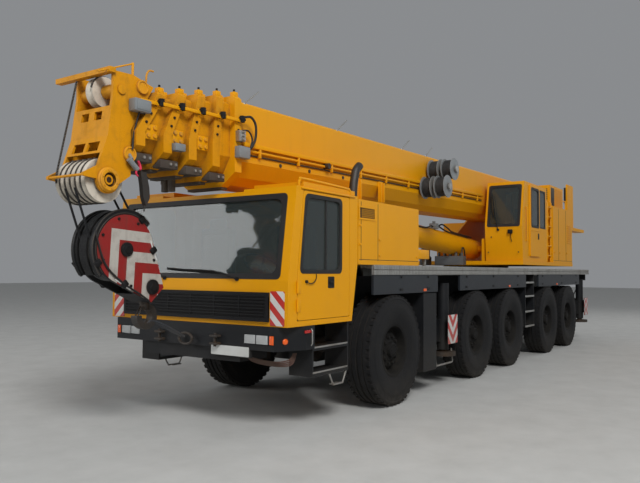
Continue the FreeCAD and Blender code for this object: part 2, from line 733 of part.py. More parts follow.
def make_deck():
    """Walking surface with its edge strips, open over the ring."""
    deck = Piece("deck")
    inner = DECK_HALF - S.walkway
    rear = S.hood_rear_at
    outline = [
        (S.tail_at, -DECK_HALF), (S.deck_front_at, -DECK_HALF), (S.deck_front_at, -inner),
        (rear, -inner), (rear, inner), (S.deck_front_at, inner),
        (S.deck_front_at, DECK_HALF), (S.tail_at, DECK_HALF),
    ]
    clear_ring = ring(S.ring_at, 0, S.ring_radius + 20)
    deck.pad("XY_Plane", [outline, clear_ring], S.deck_wall, S.deck_top - S.deck_wall)
    for _, side in SIDES:
        low, high = beside(side, DECK_HALF - S.deck_edge_wall, DECK_HALF)
        strip = rect(S.tail_at, S.deck_front_at, low, high)
        deck.pad("XY_Plane", [strip], S.deck_edge, S.deck_top - S.deck_edge)
        low, high = beside(side, S.frame_half - 60, S.frame_half)
        rail = rect(S.tail_at, rear, low, high)
        deck.pad("XY_Plane", [rail], S.deck_top - S.frame_top, S.frame_top)
    deck.cut("XY_Plane", [clear_ring], 3 * S.deck_edge, S.deck_top)
    node("deck", deck.at(AXLE_ONE))


# Front and rear station of each skirt panel
SKIRTS = [(S.deck_front_at, as_size(-1320)), (as_size(-2130), as_size(-5390)), (as_size(-6220), as_size(-9600))]


def make_skirts():
    """Side panels hung below the deck's edge."""
    top = S.deck_top - S.deck_edge
    panels = []
    for _, side in SIDES:
        for front, rear in SKIRTS:
            along = (AXLE_ONE + rear, AXLE_ONE + front)
            across = beside(side, DECK_HALF - S.skirt_wall, DECK_HALF)
            panels.append(box(along, across, (S.skirt_bottom, top)))
    node("side_skirts", group(panels))


CHANNEL = S.beam_wide + 2 * S.beam_slack
CHANNEL_OFF = (CHANNEL + S.box_wall) / 2
BOX_HALF_LONG = CHANNEL + 1.5 * S.box_wall
BOX_TOP = S.frame_bottom
BEAM_LOW = S.box_bottom + S.box_wall + S.fit_gap

# Name, station of the box, and which side's beam lies in its front channel
OUTRIGGERS = [("front", S.front_box_at), ("rear", S.rear_box_at)]
BEAM_LANES = {"left": -1, "right": 1}
STRIPE_Y = DECK_HALF + S.stripe_proud


def make_outrigger_boxes():
    """Cross tubes below the girder, each with two through channels."""
    boxes = []
    for name, station in OUTRIGGERS:
        tube = Piece(f"outrigger_box_{name}")
        loops = [rect(-BOX_HALF_LONG, BOX_HALF_LONG, S.box_bottom, BOX_TOP)]
        for lane in BEAM_LANES.values():
            low, high = span(lane * CHANNEL_OFF, CHANNEL / 2)
            loops.append(rect(low, high, S.box_bottom + S.box_wall, BOX_TOP - S.box_wall))
        tube.pad("XZ_Plane", loops, 2 * S.box_half, middle=True)
        boxes.append(tube.at(AXLE_ONE + station))
    node("outrigger_boxes", group(boxes))


def make_outrigger(name, station, side_name, side):
    """Sliding beam with its jack barrel, and the jack's rod and foot."""
    centre = AXLE_ONE + station + BEAM_LANES[side_name] * CHANNEL_OFF
    inner_end = -(S.box_half - 40)
    beam_y = beside(side, inner_end, S.jack_y)
    if side < 0:
        beam_y = (-S.jack_y, S.box_half - 40)
    beam = box(span(centre, S.beam_wide / 2), beam_y, (BEAM_LOW, BEAM_LOW + S.beam_high))
    barrel = post(centre, side * S.jack_y, (S.jack_bottom, S.jack_top), S.jack_radius)
    plate_y = beside(side, STRIPE_Y - S.stripe_wall, STRIPE_Y)
    plate = box(span(centre, S.beam_wide / 2 + S.stripe_margin), plate_y, (S.stripe_bottom, S.stripe_top))
    arm_y = beside(side, S.jack_y, STRIPE_Y - S.stripe_wall)
    arm = box(span(centre, S.stripe_margin), arm_y, (S.stripe_bottom + S.stripe_arm, S.stripe_top - S.stripe_arm))
    bore_top = S.jack_top - 60
    bore = post(centre, side * S.jack_y, (S.jack_bottom - 1, bore_top), S.jack_rod_radius + S.fit_gap)
    node(f"outrigger_beam_{name}_{side_name}", less(fuse([beam, barrel, plate, arm]), bore))
    rod = post(centre, side * S.jack_y, (S.pad_bottom, bore_top - 20), S.jack_rod_radius)
    foot_z = (S.pad_bottom, S.pad_bottom + S.pad_height)
    foot = post(centre, side * S.jack_y, foot_z, S.pad_radius)
    node(f"outrigger_jack_{name}_{side_name}", fuse([rod, foot]))


def make_outriggers():
    """The two boxes and their four beams."""
    make_outrigger_boxes()
    for name, station in OUTRIGGERS:
        for side_name, side in SIDES:
            make_outrigger(name, station, side_name, side)


def cab_outline(inset):
    """Side view of the driver's cab, inset by a wall."""
    front = S.cab_front_at - inset
    return [
        (S.cab_sill_rear_at + inset, S.cab_bottom + inset),
        (front, S.cab_bottom + inset),
        (front, S.cab_waist),
        (front - S.cab_lean, S.cab_top - inset),
        (S.cab_rear_at + inset, S.cab_top - inset),
        (S.cab_rear_at + inset, S.deck_top + inset),
    ]


def door_outline(gap):
    """Side view of the cab door, grown by a gap."""
    return [
        (S.door_rear_at - gap, S.door_bottom - gap),
        (S.door_front_at + gap, S.door_bottom - gap),
        (S.door_front_at + gap, S.window_bottom),
        (S.door_top_front_at + gap, S.door_top + gap),
        (S.door_rear_at - gap, S.door_top + gap),
    ]


def make_cab():
    """Driver's cab: hollow, with its windscreen and door openings cut."""
    shell = Piece("driver_cab_shell")
    shell.pad("XZ_Plane", [cab_outline(as_size(0))], 2 * S.cab_half, middle=True)
    pod = rect(S.cab_rear_at, S.pod_front_at, S.cab_top - 40, S.cab_top + S.pod_height)
    shell.pad("XZ_Plane", [pod], 2 * S.cab_half - 80, middle=True)
    trough = rect(S.cab_rear_at - 50, S.cab_front_at, S.cab_top - S.trough_depth, S.cab_top + 200)
    shell.cut("XZ_Plane", [trough], 2 * S.trough_half)
    shell.cut("XZ_Plane", [cab_outline(S.cab_wall)], 2 * (S.cab_half - S.cab_wall))
    screen = rect(-S.screen_half, S.screen_half, S.screen_bottom, S.screen_top)
    shell.cut("YZ_Plane", [screen], 800, S.cab_front_at)
    shell.cut("XZ_Plane", [door_outline(S.door_gap)], 3 * S.cab_half)
    node("driver_cab_shell", shell.at(AXLE_ONE))
    glass = Piece("driver_cab_glass")
    lean = S.cab_lean / (S.cab_top - S.cab_waist)
    gap = 4
    low = S.screen_bottom + gap
    high = S.screen_top - gap
    face = S.cab_front_at - 15
    pane = [
        (face - lean * (low - S.cab_waist) - S.glass_wall, low),
        (face - lean * (low - S.cab_waist), low),
        (face - lean * (high - S.cab_waist), high),
        (face - lean * (high - S.cab_waist) - S.glass_wall, high),
    ]
    glass.pad("XZ_Plane", [pane], 2 * (S.screen_half - S.fit_gap), middle=True)
    node("driver_cab_glass", glass.at(AXLE_ONE))
    for name, side in SIDES:
        make_cab_door(f"cab_door_{name}", side)
    make_cab_interior()


def make_cab_door(label, side):
    """Door as thick as the cab's wall, with its window cut and glazed."""
    door = Piece(f"{label}_panel")
    door.pad("XZ_Plane", [door_outline(as_size(0))], S.cab_wall, middle=True)
    margin = S.window_margin
    lean = (S.door_front_at - S.door_top_front_at) / (S.door_top - S.window_bottom)
    high = S.door_top - margin
    low = S.window_bottom + S.window_sill
    rear = S.door_rear_at + S.window_rear
    front = S.door_front_at - S.window_front
    window = [
        (rear, low), (front - lean * S.window_sill, low),
        (front - lean * (high - S.window_bottom), high), (rear, high),
    ]
    door.cut("XZ_Plane", [window], 4 * S.cab_wall)
    middle = side * (S.cab_half - S.cab_wall / 2)
    door.at(AXLE_ONE, middle)
    pane = Piece(f"{label}_pane")
    gap = S.fit_gap
    inset = [
        (window[0][0] + gap, window[0][1] + gap), (window[1][0] - gap, window[1][1] + gap),
        (window[2][0] - gap, window[2][1] - gap), (window[3][0] + gap, window[3][1] - gap),
    ]
    pane.pad("XZ_Plane", [inset], S.glass_wall, middle=True)
    pane.at(AXLE_ONE, middle)
    leaves = []
    for height in (S.door_bottom + 90, S.window_bottom - 200):
        leaves += door_hinge(side, height)
    node(label, group([fuse([door.body] + leaves), pane.body]))


def door_hinge(side, height):
    """Hinge barrel on the cab's side, with the leaf that holds the door."""
    upright = (height, height + S.hinge_high)
    axis_x = AXLE_ONE + S.door_front_at + S.hinge_ahead
    face = S.cab_half + S.fit_gap
    axis_y = face + S.hinge_radius
    barrel = post(axis_x, side * axis_y, upright, S.hinge_radius)
    leaf = box((axis_x - 60, axis_x), beside(side, face, face + 6), upright)
    foot = box((axis_x - 60, axis_x - 15), beside(side, S.cab_half - 4, face + 6), upright)
    return [barrel, leaf, foot]


def seat(rear, front, across, floor, high, back, back_high):
    """A squab with its backrest at the rear."""
    return fuse([box((rear, front), across, (floor, floor + high)),
                 box((rear, rear + back), across, (floor, floor + back_high))])


def make_cab_interior():
    """Two seats and the dashboard."""
    floor = S.cab_bottom + S.cab_wall + S.fit_gap
    parts = []
    for _, side in SIDES:
        across = span(side * S.seat_y, S.seat_half)
        rear = AXLE_ONE + S.seat_rear_at
        front = AXLE_ONE + S.seat_front_at
        parts.append(seat(rear, front, across, floor, S.seat_high, S.seat_back, S.seat_back_high))
    dash_x = (AXLE_ONE + S.dash_rear_at, AXLE_ONE + S.cab_front_at - S.cab_wall - S.fit_gap)
    dash_y = wide(S.cab_half - S.cab_wall - S.dash_gap)
    parts.append(box(dash_x, dash_y, (floor, S.screen_bottom - S.dash_drop)))
    node("driver_cab_interior", group(parts))


def make_grille():
    """Radiator grille: a frame with level slats."""
    grille = Piece("radiator_grille")
    loops = [rect(-S.grille_half, S.grille_half, S.grille_bottom, S.grille_top)]
    pitch_z = (S.grille_top - S.grille_bottom) / S.grille_slats
    side = S.grille_half - S.grille_frame
    for row in range(int(S.grille_slats.value)):
        low = S.grille_bottom + pitch_z * row + S.slat_half
        loops.append(rect(-side, side, low, low + pitch_z - 2 * S.slat_half))
    grille.pad("YZ_Plane", loops, S.grille_wall)
    node("radiator_grille", grille.at(AXLE_ONE + S.cab_front_at + S.fit_gap))


# Inner and outer side of each front lamp
LAMPS = [(790, 940), (945, 1100), (1120, 1175)]


def make_bumper():
    """Bumper with chamfered corners, a lower middle and its lamps."""
    bumper = Piece("front_bumper")
    plan = [
        (S.bumper_rear_at, -DECK_HALF), (S.bumper_corner_at, -DECK_HALF),
        (S.bumper_front_at, -S.bumper_flat_half), (S.bumper_front_at, S.bumper_flat_half),
        (S.bumper_corner_at, DECK_HALF), (S.bumper_rear_at, DECK_HALF),
    ]
    high = S.cab_bottom - S.fit_gap - S.bumper_bottom
    bumper.pad("XY_Plane", [plan], high, S.bumper_bottom)
    chin = rect(S.bumper_rear_at, S.bumper_front_at - 40, -S.bumper_chin_half, S.bumper_chin_half)
    bumper.pad("XY_Plane", [chin], S.bumper_bottom - S.bumper_chin, S.bumper_chin)
    sockets = []
    for _, side in SIDES:
        for inner, outer in LAMPS:
            low, high = beside(side, inner, outer)
            sockets.append(rect(low, high, S.lamp_bottom, S.lamp_top))
    bumper.cut("YZ_Plane", sockets, 2 * S.lamp_wall, S.bumper_front_at)
    node("front_bumper", bumper.at(AXLE_ONE))
    lamps = []
    front = AXLE_ONE + S.bumper_front_at
    for _, side in SIDES:
        for inner, outer in LAMPS:
            low, high = beside(side, inner, outer)
            across = (low + S.fit_gap, high - S.fit_gap)
            along = (front - S.lamp_wall + S.fit_gap, front - 4)
            lamps.append(box(along, across, (S.lamp_bottom + S.fit_gap, S.lamp_top - S.fit_gap)))
    node("front_lamps", group(lamps))


def make_hood():
    """Engine hood, open below, and the engine."""
    hood = Piece("engine_hood")
    bottom = S.deck_top + S.fit_gap
    side_view = rect(S.hood_rear_at, S.hood_front_at, bottom, S.hood_top)
    hood.pad("XZ_Plane", [side_view], 2 * S.cab_half, middle=True)
    inside = rect(S.hood_rear_at + S.hood_wall, S.hood_front_at - S.hood_wall, bottom - 100,
                  S.hood_top - S.hood_wall)
    hood.cut("XZ_Plane", [inside], 2 * (S.cab_half - S.hood_wall))
    node("engine_hood", hood.at(AXLE_ONE))
    along = (AXLE_ONE + S.engine_rear_at, AXLE_ONE + S.engine_front_at)
    height = (S.frame_top + S.fit_gap, S.engine_top)
    node("carrier_engine", box(along, wide(S.engine_half), height))


# Height of each ladder step above the ground
LADDER_STEPS = [606, 890, 1185, 1450]
CAB_STEPS = [560, 830]


def ladder(along, across, heights, top, plate, wall):
    """Two side plates with steps between them."""
    low = as_size(heights[0])
    parts = [box((along[0], along[0] + plate), across, (low, top)),
             box((along[1] - plate, along[1]), across, (low, top))]
    for height in heights:
        parts.append(box(along, across, (as_size(height), height + wall)))
    return parts


def make_steps():
    """Ladders up to the deck and steps below the cab doors."""
    ladders = []
    for _, side in SIDES:
        outer = DECK_HALF - S.deck_edge_wall - S.fit_gap
        inner = outer - S.ladder_depth
        along = (AXLE_ONE + S.ladder_rear_at, AXLE_ONE + S.ladder_front_at)
        top = S.deck_top - S.deck_wall
        parts = ladder(along, beside(side, inner, outer), LADDER_STEPS, top, S.ladder_plate, S.step_wall)
        back = beside(side, inner, inner + S.ladder_back)
        parts.append(box(along, back, (as_size(LADDER_STEPS[0]), top)))
        ladders.append(fuse(parts))
        along = (AXLE_ONE + S.cab_step_rear_at, AXLE_ONE + S.bumper_rear_at - S.fit_gap)
        outer = S.cab_half - S.cab_step_inset
        across = beside(side, outer - S.cab_step_depth, outer)
        top = S.cab_bottom - S.fit_gap
        ladders.append(fuse(ladder(along, across, CAB_STEPS, top, S.cab_step_plate, S.cab_step_wall)))
    node("ladders_and_steps", group(ladders))


def make_side_boxes():
    """Tool boxes behind the first wheels and tanks beside the girder."""
    parts = []
    for _, side in SIDES:
        along = (AXLE_ONE + S.tool_box_rear_at, AXLE_ONE + S.tool_box_front_at)
        parts.append(box(along, beside(side, S.frame_half, S.cab_half), (S.tool_box_bottom, S.tool_box_top)))
        along = (AXLE_ONE + S.tank_rear_at, AXLE_ONE + S.tank_front_at)
        tank_side = DECK_HALF - S.deck_edge_wall - S.ladder_depth - S.step_wall
        parts.append(box(along, beside(side, S.frame_half, tank_side), (S.tank_bottom, S.tank_top)))
    node("side_boxes", group(parts))


def make_platform():
    """Turntable floor, ring and the two side plates that carry the boom."""
    platform = Piece("turntable")
    floor = rect(S.platform_rear_at, S.platform_front_at, -S.platform_half, S.platform_half)
    platform.pad("XY_Plane", [floor], S.platform_top - S.platform_bottom, S.platform_bottom)
    collar = ring(S.ring_at, 0, S.ring_radius - 20)
    collar_bottom = S.ring_top + S.fit_gap
    platform.pad("XY_Plane", [collar], S.platform_top - collar_bottom, collar_bottom)
    cheek = [
        (S.platform_rear_at, S.platform_bottom), (S.platform_front_at, S.platform_bottom),
        (S.platform_front_at, S.luff_foot_z + 180), (S.luff_foot_at - 250, S.luff_foot_z + 260),
        (S.pivot_at + 420, S.pivot_z + 170), (S.pivot_at - 180, S.pivot_z + 170),
        (S.platform_rear_at - 480, S.winch_z + 250), (S.platform_rear_at - 480, S.winch_z - 250),
    ]
    outer = S.cheek_inner + S.cheek_wall
    platform.pad("XZ_Plane", [cheek], 2 * outer, middle=True)
    gap = [
        (S.platform_rear_at - 600, S.platform_top), (S.platform_front_at + 100, S.platform_top),
        (S.platform_front_at + 100, S.pivot_z + 400), (S.platform_rear_at - 600, S.pivot_z + 400),
    ]
    platform.cut("XZ_Plane", [gap], 2 * S.cheek_inner)
    pins = [ring(S.pivot_at, S.pivot_z, S.pivot_radius),
            ring(S.luff_foot_at, S.luff_foot_z, S.luff_pin_radius),
            ring(S.winch_at, S.winch_z, S.shaft_radius)]
    platform.pad("XZ_Plane", pins, 2 * outer + 40, middle=True)
    node("turntable", platform.at(AXLE_ONE))


def make_crane_cab():
    """Operator's cab: hollow, with window and door openings, and its sliding door."""
    shell = Piece("crane_cab_shell")
    front = S.crane_cab_front_at
    side_view = [
        (S.crane_cab_rear_at, S.crane_cab_bottom), (front - S.crane_sill_back, S.crane_cab_bottom),
        (front, S.crane_window_bottom), (front - S.crane_lean, S.crane_cab_top),
        (S.crane_cab_rear_at, S.crane_cab_top),
    ]
    wall = S.crane_cab_wall
    inner_view = [
        (S.crane_cab_rear_at + wall, S.crane_cab_bottom + wall),
        (front - S.crane_sill_back - wall, S.crane_cab_bottom + wall),
        (front - wall, S.crane_window_bottom), (front - S.crane_lean - wall, S.crane_cab_top - wall),
        (S.crane_cab_rear_at + wall, S.crane_cab_top - wall),
    ]
    width = S.crane_cab_outer - S.crane_cab_inner
    shell.pad("XZ_Plane", [side_view], width, middle=True)
    shell.cut("XZ_Plane", [inner_view], width - 2 * wall)
    low = S.crane_window_bottom
    high = S.crane_window_top
    screen = rect(-width / 2 + S.crane_frame, width / 2 - S.crane_frame, low, high)
    shell.cut("YZ_Plane", [screen], 4 * S.crane_lean, front)
    rear_window = rect(S.crane_cab_rear_at + 1.5 * S.crane_frame, S.crane_door_rear_at - S.crane_frame, low, high)
    shell.cut("XZ_Plane", [rear_window], 2 * width)
    jamb = S.crane_jamb
    doorway = rect(S.crane_door_rear_at + jamb, S.crane_door_front_at - jamb, S.crane_door_bottom + jamb,
                   S.crane_door_top - jamb)
    shell.cut("XZ_Plane", [doorway], width, -(width / 2))
    middle = (S.crane_cab_outer + S.crane_cab_inner) / 2
    node("crane_cab_shell", shell.at(AXLE_ONE, middle, S.fit_gap))
    door = Piece("crane_cab_door_panel")
    outline = rect(S.crane_door_rear_at, S.crane_door_front_at, S.crane_door_bottom, S.crane_door_top)
    window = rect(S.crane_door_rear_at + S.crane_frame, S.crane_door_front_at - S.crane_frame, low, high)
    door.pad("XZ_Plane", [outline, window], S.crane_door_wall, middle=True)
    door_y = S.crane_cab_outer + S.crane_door_wall / 2 + S.fit_gap
    door.at(AXLE_ONE, door_y)
    pane = Piece("crane_cab_door_pane")
    gap = S.fit_gap
    inset = rect(window[0][0] + gap, window[1][0] - gap, window[0][1] + gap, window[2][1] - gap)
    pane.pad("XZ_Plane", [inset], S.glass_wall, middle=True)
    pane.at(AXLE_ONE, door_y)
    node("crane_cab_door", group([door.body, pane.body]))
    floor = S.crane_cab_bottom + wall + 2 * S.fit_gap
    rear = AXLE_ONE + S.crane_seat_rear_at
    front = AXLE_ONE + S.crane_seat_front_at
    across = span(middle, S.crane_seat_half)
    chair = seat(rear, front, across, floor, S.crane_seat_high, S.crane_seat_back, S.crane_seat_back_high)
    node("crane_cab_seat", chair)


def make_housings():
    """Power unit housing with its cooler and tail rail on the left, and its mate on the right."""
    bottom = S.platform_top + S.fit_gap
    along = (AXLE_ONE + S.housing_rear_at, AXLE_ONE + S.housing_front_at)
    sunk = S.tail_plate_wall / 2
    cooler_x = (AXLE_ONE + S.unit_rear_at, AXLE_ONE + S.unit_front_at)
    rail_x = (AXLE_ONE + S.tail_rail_rear_at, AXLE_ONE + S.housing_rear_at + sunk)
    rail_z = (S.tail_rail_bottom, S.tail_rail_bottom + S.tail_rail_high)
    plate_x = (AXLE_ONE + S.tail_plate_rear_at, AXLE_ONE + S.tail_plate_front_at)
    plate_y = (S.unit_outer - S.tail_plate_wall, S.unit_outer)
    left = fuse([
        box(along, (S.housing_inner, S.housing_outer), (bottom, S.housing_top)),
        box(cooler_x, (S.unit_inner, S.unit_outer), (S.housing_top - sunk, S.unit_top)),
        box(rail_x, (S.unit_outer - S.tail_plate_wall, S.housing_outer), rail_z),
        box(plate_x, plate_y, (S.tail_rail_bottom + sunk, S.tail_plate_top)),
    ])
    right = box(along, (-S.housing_outer, -S.housing_inner), (bottom, S.housing_top - S.right_housing_drop))
    node("power_unit_housings", group([left, right]))


def make_winch():
    """Hoist drum with its flanges, on a shaft between the side plates."""
    drum = Piece("winch_drum")
    half = S.winch_half
    bore = S.shaft_radius + S.fit_gap
    lip = 25
    outline = [
        (bore, -half), (S.winch_flange, -half), (S.winch_flange, -half + lip),
        (S.winch_radius, -half + lip), (S.winch_radius, half - lip),
        (S.winch_flange, half - lip), (S.winch_flange, half), (bore, half),
    ]
    drum.turn("XY_Plane", [outline], "Y_Axis")
    node("winch_drum", drum.at(AXLE_ONE + S.winch_at, 0, S.winch_z))


def boom_outline(half, high):
    """Section of a boom tube: flat top, upright sides, faceted floor."""
    middle = S.boom_axis_up
    top = middle + high / 2
    low = middle - high / 2
    right = [
        (half - S.boom_corner, top), (half, top - S.boom_corner), (half, low + S.facet_low),
        (half - S.facet_in, low + S.facet_mid), (half - S.facet_floor, low),
    ]
    left = [(-u, v) for u, v in reversed(right)]
    return right + left


def collar_outline(half, high):
    """Section of a collar: deep upright sides and a slanted floor."""
    top = S.boom_axis_up + high / 2
    low = S.boom_axis_up - high / 2
    right = [
        (half - S.boom_corner, top), (half, top - S.boom_corner), (half, low + S.collar_side),
        (half - S.facet_floor, low),
    ]
    left = [(-u, v) for u, v in reversed(right)]
    return right + left


def bent_edge(front, lean, reach, low, top):
    """Area ahead of a collar's bent edge, or behind it where the reach is negative."""
    return [(front, low), (front, S.collar_knee), (front - lean, top), (front - lean + reach, top),
            (front + reach, low)]


def collar_front(number):
    """Front face of a section's collar below its bend, from the foot pin."""
    return S.collar_one + S.collar_pitch * number


def section_size(number):
    """Half width and height of boom section number, from 0."""
    step = S.boom_step * number
    return S.boom_half - step, S.boom_high - 2 * step


def make_section(number):
    """One boom tube with its bent collar, which the next section runs in."""
    half, high = section_size(number)
    label = "boom_base" if number == 0 else f"boom_section_{number + 1}"
    tail = -S.boom_tail if number == 0 else S.section_tail + S.tail_pitch * number
    front = collar_front(number)
    lean = S.collar_lean * number
    next_half, next_high = section_size(number + 1)
    rim = collar_outline(half + S.collar_proud, high + 2 * S.collar_proud)
    seat_outline = boom_outline(next_half + S.fit_gap, next_high + 2 * S.fit_gap)
    tube = Piece(label)
    rear = front - S.collar_long
    tube.pad("YZ_Plane", [rim, seat_outline], S.collar_long + lean, rear - lean)
    low = S.boom_axis_up - high
    top = S.boom_axis_up + high / 2 + S.collar_proud
    across = 4 * S.boom_half
    if number:
        tube.cut("XZ_Plane", [bent_edge(rear, lean, -4 * S.collar_long, low, top)], across)
    outer = boom_outline(half, high)
    inner = boom_outline(half - S.boom_wall, high - 2 * S.boom_wall)
    tube.pad("YZ_Plane", [outer, inner], front - tail, tail)
    if number:
        tube.cut("XZ_Plane", [bent_edge(front, lean, 4 * S.collar_long, S.collar_knee - 1, top)], across)
    return tube


def make_boom():
    """Base section, four inner sections and the last with the boom head."""
    base = make_section(0)
    lug_x = (S.luff_eye_at - S.pivot_at)
    lug_z = S.luff_eye_z - S.pivot_z + lug_x * math.tan(math.radians(S.boom_droop.value))
    floor = S.boom_axis_up - S.boom_high / 2
    lug = [
        (lug_x - 420, floor), (lug_x - 110, lug_z - 110), (lug_x + 110, lug_z - 110),
        (lug_x + 420, floor), (lug_x + 420, floor + 5), (lug_x - 420, floor + 5),
    ]
    outer = S.lug_inner + S.lug_wall
    base.pad("XZ_Plane", [lug], 2 * outer, middle=True)
    inside = [
        (lug_x - 600, floor), (lug_x - 600, floor - 600), (lug_x + 600, floor - 600), (lug_x + 600, floor),
    ]
    base.cut("XZ_Plane", [inside], 2 * S.lug_inner)
    hole = ring(0, 0, S.pivot_radius + S.fit_gap)
    base.cut("XZ_Plane", [hole], 4 * S.boom_half)
    put_on_boom("boom_base", base)
    for number in range(1, 5):
        put_on_boom(f"boom_section_{number + 1}", make_section(number))
    make_boom_head()


def on_boom(piece, y=0):
    """Place a piece drawn from the foot pin along the boom."""
    return piece.at(AXLE_ONE + S.pivot_at, y, S.pivot_z, lean=S.boom_droop)


def put_on_boom(label, piece):
    """Place and name a piece drawn from the foot pin along the boom."""
    node(label, on_boom(piece))


# Openings of the head's front plate on each side: inner and outer side, bottom and top
HEAD_HOLES = [(40, 150, 190, 270), (20, 190, -115, -25)]


def make_boom_head():
    """Last section with its head plates, and the sheaves in them."""
    half, high = section_size(5)
    rear = collar_front(4) + S.head_gap
    lean = 4 * S.collar_lean
    tube_end = rear + S.head_block
    low_x = S.low_sheave_x
    low_z = S.low_sheave_z
    guard_x = low_x + S.low_sheave_radius + S.guard_reach
    plates = [
        (rear, -S.head_low), (rear, S.collar_knee), (rear - lean, S.head_shoulder),
        (S.head_post_x, S.head_top), (S.head_nose_x, S.head_nose_top), (S.head_nose_x, S.head_nose_low),
        (S.head_knee_x, S.head_knee_z), (S.head_chin_x, S.head_chin_z),
        (guard_x, S.guard_z + S.guard_arm), (guard_x, S.guard_z - S.guard_arm),
        (low_x + 0.9 * S.head_boss, low_z), (low_x, low_z - 0.9 * S.head_boss), (rear, low_z + S.head_boss / 2),
    ]
    gap = S.head_half - S.head_wall
    floor = S.boom_axis_up - high / 2 - S.boom_wall
    beyond = guard_x + S.head_half
    far_up = S.head_top + S.head_half
    far_low = low_z - S.head_half
    behind = rear - 2 * lean
    head = Piece("head_plates")
    head.pad("XZ_Plane", [plates], 2 * S.head_half, middle=True)
    head.pad("XZ_Plane", [ring(low_x, low_z, S.head_boss)], 2 * S.head_half, middle=True)
    wall = S.head_block / 2
    inside = [
        (behind, floor - 1), (tube_end - wall, floor - 1), (tube_end - wall, S.head_shelf - wall),
        (S.head_step - wall, S.head_shelf - wall), (S.head_step - wall, far_up), (behind, far_up),
    ]
    head.cut("XZ_Plane", [inside], 2 * gap)
    tail = S.section_tail + 5 * S.tail_pitch
    outer = boom_outline(half, high)
    inner = boom_outline(half - S.boom_wall, high - 2 * S.boom_wall)
    head.pad("YZ_Plane", [outer, inner], tube_end - tail, tail)
    ahead = [
        (S.head_step, far_up), (beyond, far_up), (beyond, far_low), (behind, far_low), (behind, floor),
        (tube_end, floor), (tube_end, S.head_shelf), (S.head_step, S.head_shelf),
    ]
    head.cut("XZ_Plane", [ahead], 2 * gap)
    shafts = [ring(low_x, low_z, S.shaft_radius), ring(S.top_sheave_x, S.top_sheave_z, S.shaft_radius)]
    head.pad("XZ_Plane", shafts, 2 * S.head_half + S.head_wall, middle=True)
    head.pad("XZ_Plane", [ring(guard_x - 1.5 * S.guard_radius, S.guard_z, S.guard_radius)], 2 * S.head_half, middle=True)
    slope = (S.head_chin_x - S.head_knee_x) / (S.head_knee_z - S.head_chin_z)
    upper_slope = (S.head_knee_x - S.head_nose_x) / (S.head_nose_low - S.head_knee_z)
    plate_top_x = S.head_nose_x + upper_slope * (S.head_nose_low - S.front_plate_top)
    plate_low_x = S.head_knee_x + slope * (S.head_knee_z - S.front_plate_low)
    thick = S.front_plate
    front_plate = [
        (plate_top_x, S.front_plate_top), (S.head_knee_x, S.head_knee_z), (plate_low_x, S.front_plate_low),
        (plate_low_x - thick, S.front_plate_low), (S.head_knee_x - thick, S.head_knee_z),
        (plate_top_x - thick, S.front_plate_top),
    ]
    head.pad("XZ_Plane", [front_plate], 2 * gap + S.fit_gap, middle=True)
    openings = []
    for _, side in SIDES:
        for inner_y, outer_y, low, top in HEAD_HOLES:
            low_y, high_y = beside(side, inner_y, outer_y)
            openings.append(rect(low_y, high_y, low, top))
    head.cut("YZ_Plane", openings, 2 * S.head_half, S.head_knee_x + S.front_plate)
    bar_x = (S.head_nose_x - S.nose_bar_sunk, S.head_nose_x + S.nose_bar_long)
    bar_z = (S.head_nose_top - S.nose_bar_low, S.head_nose_top + S.nose_bar_high)
    nose = Piece("nose_bar")
    nose.pad("XZ_Plane", [rect(*bar_x, *bar_z)], S.nose_bar_inner + S.nose_bar_outer, middle=True)
    nose_y = (S.nose_bar_inner - S.nose_bar_outer) / 2
    node("boom_section_6_head", fuse([on_boom(head), on_boom(nose, nose_y)]))
    lower = grooved_pack("lower_sheave_pack", S.low_pack_half, S.low_sheave_radius, S.low_sheaves)
    upper = grooved_pack("upper_sheave_pack", S.top_pack_half, S.top_sheave_radius, as_size(1))
    packs = []
    for pack, x, z in ((lower, S.low_sheave_x, S.low_sheave_z), (upper, S.top_sheave_x, S.top_sheave_z)):
        world_x, world_z = pack_centre(x, z)
        packs.append(pack.at(world_x, 0, world_z))
    node("boom_head_sheaves", group(packs))


def grooved_pack(label, half, radius, sheaves):
    """Sheaves side by side on one shaft, with a V groove each."""
    pack = Piece(label)
    count = int(sheaves.value)
    pitch_y = 2 * half / count
    bore = S.shaft_radius + S.fit_gap
    outline = [(bore, -half)]
    for number in range(count):
        start = -half + pitch_y * number
        outline.append((radius, start + pitch_y * 0.08))
        outline.append((radius - S.groove_depth, start + pitch_y * 0.5))
        outline.append((radius, start + pitch_y * 0.92))
    outline.append((bore, half))
    pack.turn("XY_Plane", [outline], "Y_Axis")
    return pack


LUFF_RUN = S.luff_eye_at - S.luff_foot_at
LUFF_RISE = S.luff_eye_z - S.luff_foot_z
LUFF_LENGTH = across_corner(LUFF_RUN, LUFF_RISE)
LUFF_ANGLE = slope_of(LUFF_RISE, LUFF_RUN)


